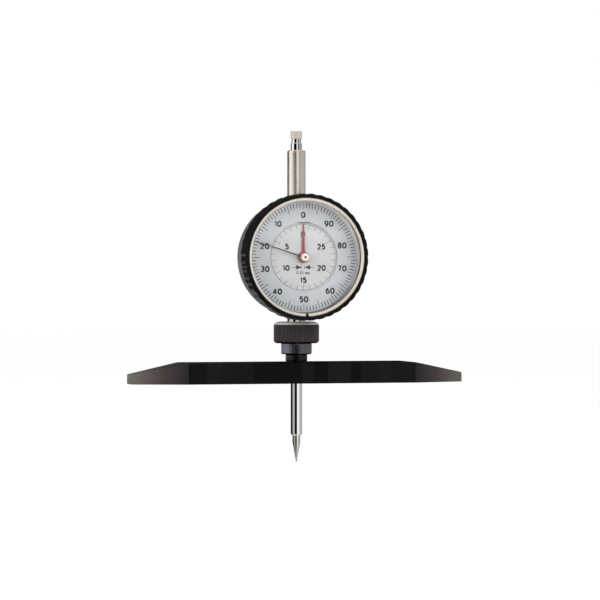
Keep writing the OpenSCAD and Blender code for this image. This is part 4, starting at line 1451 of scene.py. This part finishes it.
@dataclass
class DialSet:
    """Both dials with their divisions, numbers and marks."""

    print_up: float = 0.03  # height of the print over the sheet
    print_under: float = 0.02  # how far it reaches into the sheet
    turn: float = 0.47  # the dials are turned this far anti-clockwise, in degrees
    window_r: float = 15.0  # hole in the outer dial
    outer_r: float = 23.2  # outer end of the divisions
    short_r: float = 21.0  # inner ends: of single divisions, of tens and of fives
    ten_r: float = 20.35
    five_r: float = 19.3
    long_width: float = 0.26  # width of the lines at fives and tens
    short_width: float = 0.34  # and between them
    number_h: float = 2.7
    number_places: tuple[tuple[float, float], ...] = (  # centres of the numbers 0 to 90
        (0.0, 18.15), (-11.15, 14.35), (-17.05, 4.85), (-17.0, -4.9), (-11.65, -14.6),
        (0.0, -18.05), (11.65, -14.5), (17.1, -4.9), (17.15, 4.95), (11.35, 14.35),
    )
    inner_r: float = 14.15  # scale circle of the inner dial
    inner_short: float = 1.8  # length of its divisions
    inner_long: float = 2.45  # and of every fifth
    inner_width: float = 0.16
    circle_under: float = 0.005  # the scale circle's face lies this far below its divisions' faces
    inner_number_h: float = 2.6
    inner_places: tuple[tuple[float, float], ...] = (  # centres of the numbers 0 to 25
        (0.0, 9.8), (-7.1, 4.6), (-7.5, -4.6), (0.1, -9.75), (8.1, -4.6), (8.0, 4.5),
    )
    unit_h: float = 1.35
    unit_over: float = -6.65  # place of the unit's line over the dial's centre
    arrows_over: float = -4.3
    letter_gap: float = 0.06  # between two letters, as a share of their height

    def levels(self, box: Extent) -> tuple[float, float]:
        """Lower and upper face of the print on a dial."""
        return box.front - self.print_under, box.front + self.print_up

    def divisions(self, inner: Array, outer: float, width: Array, low: float, high: float) -> Shell:
        """Division lines as thin blocks that point at the centre, evenly round the circle.

        Args:
            inner: inner radius of each.
            outer: outer radius.
            width: width of each.
            low: lower face.
            high: upper face.

        Returns:
            The blocks.
        """
        count = len(inner)
        angle = np.radians(90 + self.turn + np.arange(count) * 360 / count)
        along = np.stack([np.cos(angle), np.sin(angle)], axis=1)[:, None]
        side = np.stack([-np.sin(angle), np.cos(angle)], axis=1)[:, None]
        reach = np.stack([inner, np.full(count, outer), np.full(count, outer), inner], axis=1)[..., None]
        half = (width / 2)[:, None] * np.array([-1, -1, 1, 1])
        return blocks(along * reach + side * half[..., None], Axis.DIAL, low, high)

    def words(
        self, text: str, height: float, across: float, over: float, low: float, high: float, weight: Weight
    ) -> Shell:
        """Flat lettering, centred on a place of the dial.

        Args:
            text: plain numbers or a unit.
            height: height of a capital in millimetres.
            across: place to the right of the dial's centre.
            over: place above it.
            low: lower face.
            high: upper face.
            weight: how bold it is.

        Returns:
            The closed letters.
        """
        thick = weight.value * height
        tall = height - thick
        pen, strokes = 0.0, []
        for letter in (LETTERS[sign] for sign in text):
            strokes += [(np.array(line) * tall + (pen, 0), False) for line in letter.lines]
            strokes += [(np.array(loop) * tall + (pen, 0), True) for loop in letter.loops]
            pen += letter.width * tall + thick + self.letter_gap * height
        full = pen - self.letter_gap * height - thick
        shift = np.array([across - full / 2, over - tall / 2])
        return joined([ribbon(line + shift, thick, Axis.DIAL, low, high, loop) for line, loop in strokes])

    def build(self) -> None:
        """Makes the dials and their print."""
        self.outer_dial()
        self.inner_dial()

    def outer_dial(self) -> None:
        """Makes the outer dial with a hundred divisions and the numbers 0 to 90."""
        box = extent("outer_dial")
        hole, edge, back, front = self.window_r, box.half_width, box.back, box.front
        sheet = lathe(
            [(hole, back, 0.03), (edge, back, 0.03), (edge, front, 0.03), (hole, front, 0.12)],
            Axis.DIAL, steps=3, sides=180,
        )
        piece("dial_outer_sheet", [sheet], OUTER_DIAL, "bezel", ("outer_dial",))
        low, high = self.levels(box)
        step = np.arange(100)
        inner = np.where(step % 10 == 0, self.ten_r, np.where(step % 5 == 0, self.five_r, self.short_r))
        width = np.where(step % 5 == 0, self.long_width, self.short_width)
        lines = self.divisions(inner, self.outer_r, width, low, high)
        piece("dial_outer_lines", [lines], LINE_INK, "bezel")
        a = math.radians(self.turn)
        turn = np.array([[math.cos(a), -math.sin(a)], [math.sin(a), math.cos(a)]])
        numbers = [
            self.words(str(10 * k), self.number_h, *(turn @ place), low, high, Weight.REGULAR)
            for k, place in enumerate(self.number_places)
        ]
        piece("dial_outer_numbers", numbers, DARK_INK, "bezel")

    def inner_dial(self) -> None:
        """Makes the inner dial's print: thirty divisions, numbers, the arrows and the unit."""
        dress(["inner_dial"], INNER_DIAL)
        low, high = self.levels(extent("inner_dial"))
        step = np.arange(30)
        inner = self.inner_r - np.where(step % 5 == 0, self.inner_long, self.inner_short)
        half = self.inner_width / 2
        lines = [
            self.divisions(inner, self.inner_r, np.full(30, self.inner_width), low, high),
            ring_band(self.inner_r - half, self.inner_r + half, Axis.DIAL, low, high - self.circle_under),
        ]
        piece("dial_inner_lines", lines, LINE_INK, "gauge")
        print_parts = [
            self.words(str(5 * k), self.inner_number_h, *place, low, high, Weight.REGULAR)
            for k, place in enumerate(self.inner_places)
        ]
        print_parts.append(self.words("0.01 mm", self.unit_h, 0.0, self.unit_over, low, high, Weight.SMALL))
        print_parts.append(self.arrows(low, high))
        piece("dial_inner_numbers", print_parts, DARK_INK, "gauge")

    def arrows(self, low: float, high: float) -> Shell:
        """Two arrows that point at two short upright lines.

        Args:
            low: lower face.
            high: upper face.

        Returns:
            The closed blocks.
        """
        y = self.arrows_over
        # Corners of the right one's upright line, head and tail
        right = np.array(
            [
                [[0.6, y - 0.85], [0.76, y - 0.85], [0.76, y + 0.85], [0.6, y + 0.85]],
                [[0.8, y - 0.08], [3.1, y - 0.95], [3.1, y + 0.95], [0.8, y + 0.08]],
                [[3.1, y - 0.1], [4.8, y - 0.1], [4.8, y + 0.1], [3.1, y + 0.1]],
            ]
        )
        left = (right * np.array([-1, 1]))[:, ::-1]
        return blocks(np.concatenate([right, left]), Axis.DIAL, low, high)


# ---------------------------------------------------------------- hands


@dataclass(frozen=True)
class Blade:
    """A hand: a round hub that runs into a tapered blade."""

    hub: float  # radius of the hub
    length: float  # from the centre to the tip
    root: float  # width of the blade at the hub
    tip: float  # width at its tip
    angle: float  # anti-clockwise from twelve, in degrees

    def outline(self) -> Array:
        """Outline of the hand.

        The hub's arc leaves out the part under the blade. All points are then turned by the
        hand's angle.

        Returns:
            The points, anti-clockwise.
        """
        hub, root, tip = self.hub, self.root / 2, self.tip / 2
        half = math.asin(root / hub)
        round_part = np.linspace(math.pi / 2 + half, math.pi / 2 - half + TAU, 48)
        arc = hub * np.stack([np.cos(round_part), np.sin(round_part)], axis=1)
        soft = self.tip * 0.4
        end = rounded(
            [(root, hub, 0), (tip, self.length, soft), (-tip, self.length, soft), (-root, hub, 0)],
            steps=3, closed=False,
        )[1:-1]
        a = math.radians(self.angle)
        turn = np.array([[math.cos(a), math.sin(a)], [-math.sin(a), math.cos(a)]])
        return np.concatenate([arc, end]) @ turn


@dataclass
class Hands:
    """Long black hand, short red hand, and the pale cap over their hubs."""

    long_hand: Blade = Blade(1.75, 22.4, 0.62, 0.2, 72.0)
    short_hand: Blade = Blade(2.4, 14.3, 1.25, 0.5, 0.0)
    sheet: float = 0.2  # thickness of the long hand's blade
    bore_r: float = 0.5
    collar_r: float = 1.6  # the long hand's collar behind its blade
    overlap: float = 0.02  # of the collar and the blade

    def build(self) -> None:
        """Makes both hands and the cap."""
        long_box, short_box, cap = extent("long_hand_blade"), extent("short_hand_blade"), extent("hub_cap")
        back, front = long_box.front - self.sheet, long_box.front
        shells = [
            slab(self.long_hand.outline(), Axis.DIAL, back, front, 0.04),
            ring_band(self.bore_r, self.collar_r, Axis.DIAL, long_box.back, back + self.overlap, 48),
        ]
        piece("hand_long_black", shells, BLACK_LACQUER, "long_hand", ("long_hand_blade",))
        shell = slab(self.short_hand.outline(), Axis.DIAL, short_box.back, short_box.front, 0.05)
        piece("hand_short_red", [shell], RED_LACQUER, "short_hand", ("short_hand_blade",))
        bore, r = self.bore_r, cap.half_width
        shell = lathe(
            [(bore, cap.back, 0.02), (r, cap.back, 0.05), (r, cap.front, 0.35), (bore, cap.front, 0.08)],
            Axis.DIAL, sides=64,
        )
        piece("cap_pale", [shell], PALE_CAP, "long_hand", ("hub_cap",))
        dress(["centre_arbor"], DARK_METAL)


# ---------------------------------------------------------------- plunger


@dataclass
class Plunger:
    """The rack plunger with its knurled cap and needle contact point."""

    rack_pitch: float = 0.625
    rack_low: float = 33.66
    rack_high: float = 67.41
    rack_tip: float = 2.06  # distance of the teeth's crests from the axis
    rack_root: float = 1.67
    rack_floor: float = 0.14  # half width of a gap's floor, as a share of the pitch
    rack_flank: float = 0.2  # width of a flank, as a share of the pitch
    neck_r: float = 2.05  # of the cap, between the plunger and the head
    neck_height: float = 1.9
    neck_overlap: float = 0.02  # of the neck and the head
    head_in: float = 0.1  # the head is this much slimmer than the CAD cap
    shank_r: float = 1.25  # screwed ends of the cap and of the contact point
    shank_length: float = 4.0
    knurl_starts: int = 18
    knurl_lead: float = 0.9  # height in which a groove comes round by one pitch
    knurl_depth: float = 0.12
    knurl_start: float = 0.05  # it begins this far over the head's lower face
    point_body: float = 3.1  # length of the contact point above its cone
    ball_r: float = 0.4
    waist_r: float = 0.24  # where the cone meets the ball

    def __post_init__(self) -> None:
        """Reads the places of the cap's head from the frame."""
        self.cap = extent("plunger_cap")
        self.head_r = self.cap.half_width - self.head_in
        self.head_low = extent("plunger").high + self.neck_height

    def rack(self, angle: Array, height: Array) -> Array:
        """Greatest radius on the rack's side: the rack's line over the cosine to its direction.

        Args:
            angle: round the stem axis, in radians.
            height: height over the measuring face.

        Returns:
            The radius at each point.
        """
        turn = ((height - self.rack_low) / self.rack_pitch) % 1.0
        slope = np.clip((np.abs(turn - 0.5) - self.rack_floor) / self.rack_flank, 0, 1)
        line = self.rack_root + (self.rack_tip - self.rack_root) * slope
        inside = (height > self.rack_low) & (height < self.rack_high)
        facing = np.maximum(-np.cos(angle), 1e-3)
        return np.where(inside & (np.cos(angle) < -1e-3), line / facing, FREE)

    def diamond(self, angle: Array, height: Array) -> Array:
        """Greatest radius under a diamond knurl: two crossed families of shallow grooves.

        Args:
            angle: round the stem axis, in radians.
            height: height over the measuring face.

        Returns:
            The radius at each point.
        """
        up = (height - self.head_low) / self.knurl_lead
        a, b = ((angle / TAU * self.knurl_starts + s * up) % 1.0 for s in (1, -1))
        groove = np.maximum(np.abs(a - 0.5), np.abs(b - 0.5)) * 2
        on_head = height > self.head_low + self.knurl_start
        return np.where(on_head, self.head_r - self.knurl_depth * np.clip(groove, 0, 1) ** 2, FREE)

    def build(self) -> None:
        """Makes the plunger, its cap and its contact point."""
        box = extent("plunger")
        r, low, high = box.half_width, box.low, box.high
        shell = lathe(
            [(0, low, 0), (r, low, 0.25), (r, high, 0.15), (0, high, 0)],
            Axis.STEM, steps=4, longest=0.125, sides=96, limit=self.rack, closed=False,
        )
        piece("plunger_lapped", [shell], POLISHED_STEEL, "plunger", ("plunger",))
        self.head()
        self.neck(high)
        self.point(low)
        dress(["guide_pin"], MACHINED_STEEL)

    def head(self) -> None:
        """Makes the cap's knurled head."""
        r, low, high = self.head_r, self.head_low, self.cap.high
        shell = lathe(
            [(0, low, 0), (r, low, 0.3), (r, high - 0.35, 0.4), (r - 0.6, high, 0.3), (0, high, 0)],
            Axis.STEM, longest=0.09, sides=260, limit=self.diamond, closed=False,
        )
        piece("cap_diamond_knurl", [shell], KNURLED_NICKEL, "plunger", ("plunger_cap",))

    def neck(self, top: float) -> None:
        """Makes the cap's smooth neck and its screwed end in the plunger.

        Args:
            top: height of the plunger's top.
        """
        r, neck, end = self.shank_r, self.neck_r, top - self.shank_length
        high = self.head_low + self.neck_overlap
        shell = lathe(
            [(0, end, 0), (r, end, 0.1), (r, top, 0.02), (neck, top, 0.1), (neck, high, 0.02), (0, high, 0)],
            Axis.STEM, longest=0.2, sides=96, closed=False,
        )
        piece("cap_neck_lapped", [shell], POLISHED_STEEL, "plunger")

    def point(self, top: float) -> None:
        """Makes the needle: a ball, a long cone, a short body and a screwed end in the plunger.

        Args:
            top: height of the plunger's lower end.
        """
        box = extent("contact_point")
        arc = np.linspace(0, math.pi - math.asin(self.waist_r / self.ball_r), 14)
        ball = np.stack([np.sin(arc), 1 - np.cos(arc)], axis=1) * self.ball_r + (0, box.low)
        r, shank = box.half_width, self.shank_r
        rest = rounded(
            [
                (self.waist_r, float(ball[-1, 1]), 0), (r, top - self.point_body, 0.8), (r, top, 0.2),
                (shank, top, 0.05), (shank, box.high, 0.1), (0, box.high, 0),
            ],
            steps=5, closed=False,
        )
        line = refined(np.concatenate([ball[:-1], rest]), 0.5, closed=False)
        shell = turned(line, Axis.STEM, 72, closed=False)
        piece("point_needle", [shell], GROUND_NEEDLE, "plunger", ("contact_point",))


# ---------------------------------------------------------------- movement


class Movement:
    """The works inside the case, shown by their CAD nodes."""

    def build(self) -> None:
        """Gives each node inside the case its finish."""
        dress(["main_plate", "pillars", "rear_bridge"], BRUSHED_BRASS)
        dress(["rack_wheel", "count_pinion", "count_wheel", "hairspring_wheel"], BRUSHED_BRASS)
        # the front plate is dark as painted shade where the gap between the dials shows it
        dress(["front_plate"], DARK_METAL)
        dress(["case_screws", "plate_screws", "rail_screws", "guide_rail"], MACHINED_STEEL)
        dress(["spring_anchor", "hairspring_stud", "rack_pinion", "hairspring_arbor"], MACHINED_STEEL)
        dress(["arbor_bushes"], BEARING_BRONZE)
        dress(["return_spring"], DRAWN_WIRE)
        dress(["hairspring"], BLUED_SPRING)


# ---------------------------------------------------------------- studio


@dataclass(frozen=True)
class Band:
    """Cards that stand round the object, at one distance and between two heights."""

    away: float  # from the stem axis
    low: float
    high: float
    # Name, start and end in degrees from the camera's direction to the right, brightness 0 to 1
    cards: tuple[tuple[str, float, float, float], ...]


# Mirrored in the plunger and the needle below the bar
LOW_BAND = Band(700, -900, -14, (
    ("low_grey_left", -83, -33, 0.43),
    ("low_black_middle", -33, 14, 0.0),
    ("low_pale_near", 52, 95, 0.57),
    ("low_pale_far", 95, 145, 0.42),
    ("low_black_back", -175, -83, 0.01),
))
# Mirrored in the guide tube and the rings round the dial
HIGH_BAND = Band(700, 20, 128, (
    ("high_dim_left", -112, -100, 0.4),
    ("high_black_back", -175, -112, 0.05),
    ("high_dark_middle", -25, -2, 0.15),
    ("high_grey_right", 6, 36, 0.76),
    ("high_dim_right", 36, 58, 0.45),
    ("high_pale_right", 58, 100, 0.52),
    ("high_pale_far", 100, 145, 0.42),
))
# Mirrored in the plunger and its cap over the guide tube
TOP_BAND = Band(700, 128, 900, (
    ("top_black_back", -175, -104, 0.05),
    ("top_black_middle", -52, 6, 0.0),
    ("top_pale_right", 6, 28, 0.9),
    ("top_dark_right", 28, 56, 0.1),
    ("top_grey_right", 56, 145, 0.36),
))
BACK_BAND = Band(700, -900, 900, (("black_back", 145, 185, 0.01),))
# Mirrored in the socket's neck and collar and in the foot of the nut
COLLAR_BAND = Band(90, -3.4, 22, (
    ("near_back", -175, -105, 0.5),
    ("near_left", -105, -56, 0.65),
    ("near_dim_left", -56, -34, 0.34),
    ("near_dark_left", -34, -14, 0.14),
    ("near_black_middle", -14, 9, 0.05),
    ("near_dark_right", 9, 20, 0.1),
    ("near_dim_right", 20, 32, 0.22),
    ("near_right", 32, 145, 0.34),
))
# Mirrored in the stem between the nut and the bezel
STEM_BAND = Band(90, 22, 38, (
    ("stem_black_back", -175, -100, 0.02),
    ("stem_pale_left", -100, -42, 0.6),
    ("stem_black_middle", -42, -10, 0.0),
    ("stem_pale_right", -10, 36, 0.7),
    ("stem_dark_right", 36, 56, 0.08),
    ("stem_grey_right", 56, 145, 0.4),
))


@dataclass
class Studio:
    """Pale floor, soft lamps, a white surround with grey and black cards, and the camera."""

    azimuth: float = -14.3  # of the camera, in degrees; 0 looks along +Y
    distance: float = 1200.0
    camera_z: float = 44.0
    frame_width: float = 264.0  # seen at the distance of the stem axis
    aim_right: float = 1.6  # middle of the picture, to the right of the stem axis
    aim_z: float = 36.4
    sensor: float = 36.0
    floor_width: float = 6000.0
    floor_gap: float = 0.1
    floor_glow: float = 1.06  # strength of the white that only the camera sees on the floor
    floor_share: float = 0.88  # share of that white; the rest keeps the shadow
    soft_light: float = 0.42  # strength of the surround for matt surfaces
    lamps: tuple[tuple[str, float, float], ...] = (  # name, degrees from the camera's direction, watts
        ("key_lamp", -50, 16.8),
        ("fill_lamp", 45, 14.4),
    )
    lamp_distance: float = 1000.0  # from the stem axis, on the ground
    lamp_z: float = 260.0
    lamp_width: float = 1100.0
    bands: tuple[Band, ...] = (LOW_BAND, HIGH_BAND, TOP_BAND, BACK_BAND, COLLAR_BAND, STEM_BAND)

    def direction(self, azimuth: float) -> tuple[float, float]:
        """Unit vector on the ground from the object towards an azimuth."""
        a = math.radians(azimuth)
        return math.sin(a), -math.cos(a)

    def camera(self) -> None:
        """Puts the camera at the photograph's viewing angle."""
        a = math.radians(self.azimuth)
        right = (math.cos(a), math.sin(a))
        to_x, to_y = self.direction(self.azimuth)
        aim = Vector((right[0] * self.aim_right, right[1] * self.aim_right, self.aim_z)) * MM
        place = Vector(
            (
                (to_x * self.distance + right[0] * self.aim_right) * MM,
                (to_y * self.distance + right[1] * self.aim_right) * MM,
                self.camera_z * MM,
            )
        )
        lens = bpy.data.cameras.new("camera")
        lens.sensor_width = self.sensor
        lens.lens = self.sensor * self.distance / self.frame_width
        lens.clip_start, lens.clip_end = 0.01, 20
        holder = bpy.data.objects.new("camera", lens)
        holder.location = place
        holder.rotation_euler = (aim - place).to_track_quat("-Z", "Y").to_euler()
        bpy.context.scene.collection.objects.link(holder)
        bpy.context.scene.camera = holder

    def sheet(
        self, name: str, width: float, height: float, material: bpy.types.Material
    ) -> bpy.types.Object:
        """Makes a flat sheet at the origin as part of the stage.

        Args:
            name: name of the sheet.
            width: its width in millimetres.
            height: its height in millimetres.
            material: its material.

        Returns:
            The object.
        """
        w, h = width * MM / 2, height * MM / 2
        mesh = bpy.data.meshes.new(name)
        mesh.from_pydata([(-w, -h, 0), (w, -h, 0), (w, h, 0), (-w, h, 0)], [], [(0, 1, 2, 3)])
        mesh.materials.append(material)
        made = bpy.data.objects.new(name, mesh)
        bpy.context.scene.collection.objects.link(made)
        return made

    def floor(self) -> None:
        """Lays a white floor that shows no horizon but keeps the object's shadow."""
        material = new_material("white_floor")
        tree = material.node_tree
        shader = tree.nodes["Principled BSDF"]
        shader.inputs["Base Color"].default_value = linear("#f4f4f4")
        shader.inputs["Roughness"].default_value = 0.9
        glow = add_node(tree, "Emission", Color=(1.0, 1.0, 1.0, 1.0), Strength=self.floor_glow)
        path = add_node(tree, "LightPath")
        seen = path.outputs["Is Camera Ray"]
        share = add_node(tree, "Math", {"operation": "MULTIPLY"}, s0=seen, s1=self.floor_share)
        mixed = add_node(tree, "MixShader", s0=share.outputs[0], s1=shader.outputs[0], s2=glow.outputs[0])
        tree.links.new(mixed.outputs[0], tree.nodes["Material Output"].inputs["Surface"])
        made = self.sheet("floor", self.floor_width, self.floor_width, material)
        made.location.z = CAD_BOX[0].z - self.floor_gap * MM
        made.visible_glossy = False

    def card(self, band: Band, name: str, start: float, end: float, grey: float) -> None:
        """Stands a card round the object that only reflections see.

        Its width is twice its distance times the tangent of half the angle between its ends.

        Args:
            band: the band that it belongs to.
            name: name of the card.
            start: where it begins, in degrees from the camera's direction to the right.
            end: where it ends.
            grey: its brightness, 0 to 1.
        """
        material = new_material(name)
        tree = material.node_tree
        glow = add_node(tree, "Emission", Color=(grey, grey, grey, 1.0), Strength=1.0)
        tree.links.new(glow.outputs[0], tree.nodes["Material Output"].inputs["Surface"])
        width = 2 * band.away * math.tan(math.radians(end - start) / 2)
        made = self.sheet(name, width, band.high - band.low, material)
        x, y = self.direction(self.azimuth + (start + end) / 2)
        made.location = Vector((x * band.away, y * band.away, (band.low + band.high) / 2)) * MM
        made.rotation_euler = Vector((-x, -y, 0)).to_track_quat("Z", "Y").to_euler()
        for ray in ("camera", "diffuse", "shadow", "volume_scatter"):
            setattr(made, "visible_" + ray, False)

    def lamp(self, name: str, azimuth: float, watts: float) -> None:
        """Hangs a square soft lamp that faces the dial.

        Args:
            name: name of the lamp.
            azimuth: from the camera's direction to the right, in degrees.
            watts: its power.
        """
        light = bpy.data.lights.new(name, "AREA")
        light.energy = watts
        light.size = self.lamp_width * MM
        x, y = self.direction(self.azimuth + azimuth)
        place = Vector((x * self.lamp_distance, y * self.lamp_distance, self.lamp_z)) * MM
        made = bpy.data.objects.new(name, light)
        made.visible_glossy = False
        made.visible_transmission = False
        made.location = place
        made.rotation_euler = (Vector((0, 0, DIAL_Z * MM)) - place).to_track_quat("-Z", "Y").to_euler()
        bpy.context.scene.collection.objects.link(made)

    def world(self) -> None:
        """White surround for the camera, metal and glass, and a plain soft light for the rest."""
        world = bpy.data.worlds.new("surround")
        world.use_nodes = True
        tree = world.node_tree
        path = add_node(tree, "LightPath")
        seen = path.outputs["Is Camera Ray"]
        for ray in ("Is Glossy Ray", "Is Transmission Ray"):
            seen = add_node(tree, "Math", {"operation": "MAXIMUM"}, s0=seen, s1=path.outputs[ray]).outputs[0]
        strength = add_node(tree, "MapRange", Value=seen, To_Min=self.soft_light, To_Max=1.0)
        tree.links.new(strength.outputs[0], tree.nodes["Background"].inputs["Strength"])
        tree.nodes["Background"].inputs["Color"].default_value = (1, 1, 1, 1)
        bpy.context.scene.world = world

    def build(self) -> None:
        """Sets up the whole studio."""
        self.world()
        self.floor()
        for lamp in self.lamps:
            self.lamp(*lamp)
        for band in self.bands:
            for card in band.cards:
                self.card(band, *card)
        self.camera()
        bpy.context.scene.view_settings.view_transform = "Standard"


# ---------------------------------------------------------------- the whole gauge


def main() -> None:
    """Builds and dresses every piece, then sets up the studio."""
    logging.basicConfig(level=logging.INFO, format="%(message)s")
    parts = (
        MeasuringBridge(), ClampNut(), CaseAssembly(), BezelAssembly(), DialSet(), Hands(), Plunger(),
        Movement(), Studio(),
    )
    for part in parts:
        LOG.info("== %s", type(part).__name__)
        part.build()


if __name__ == "__main__":
    main()
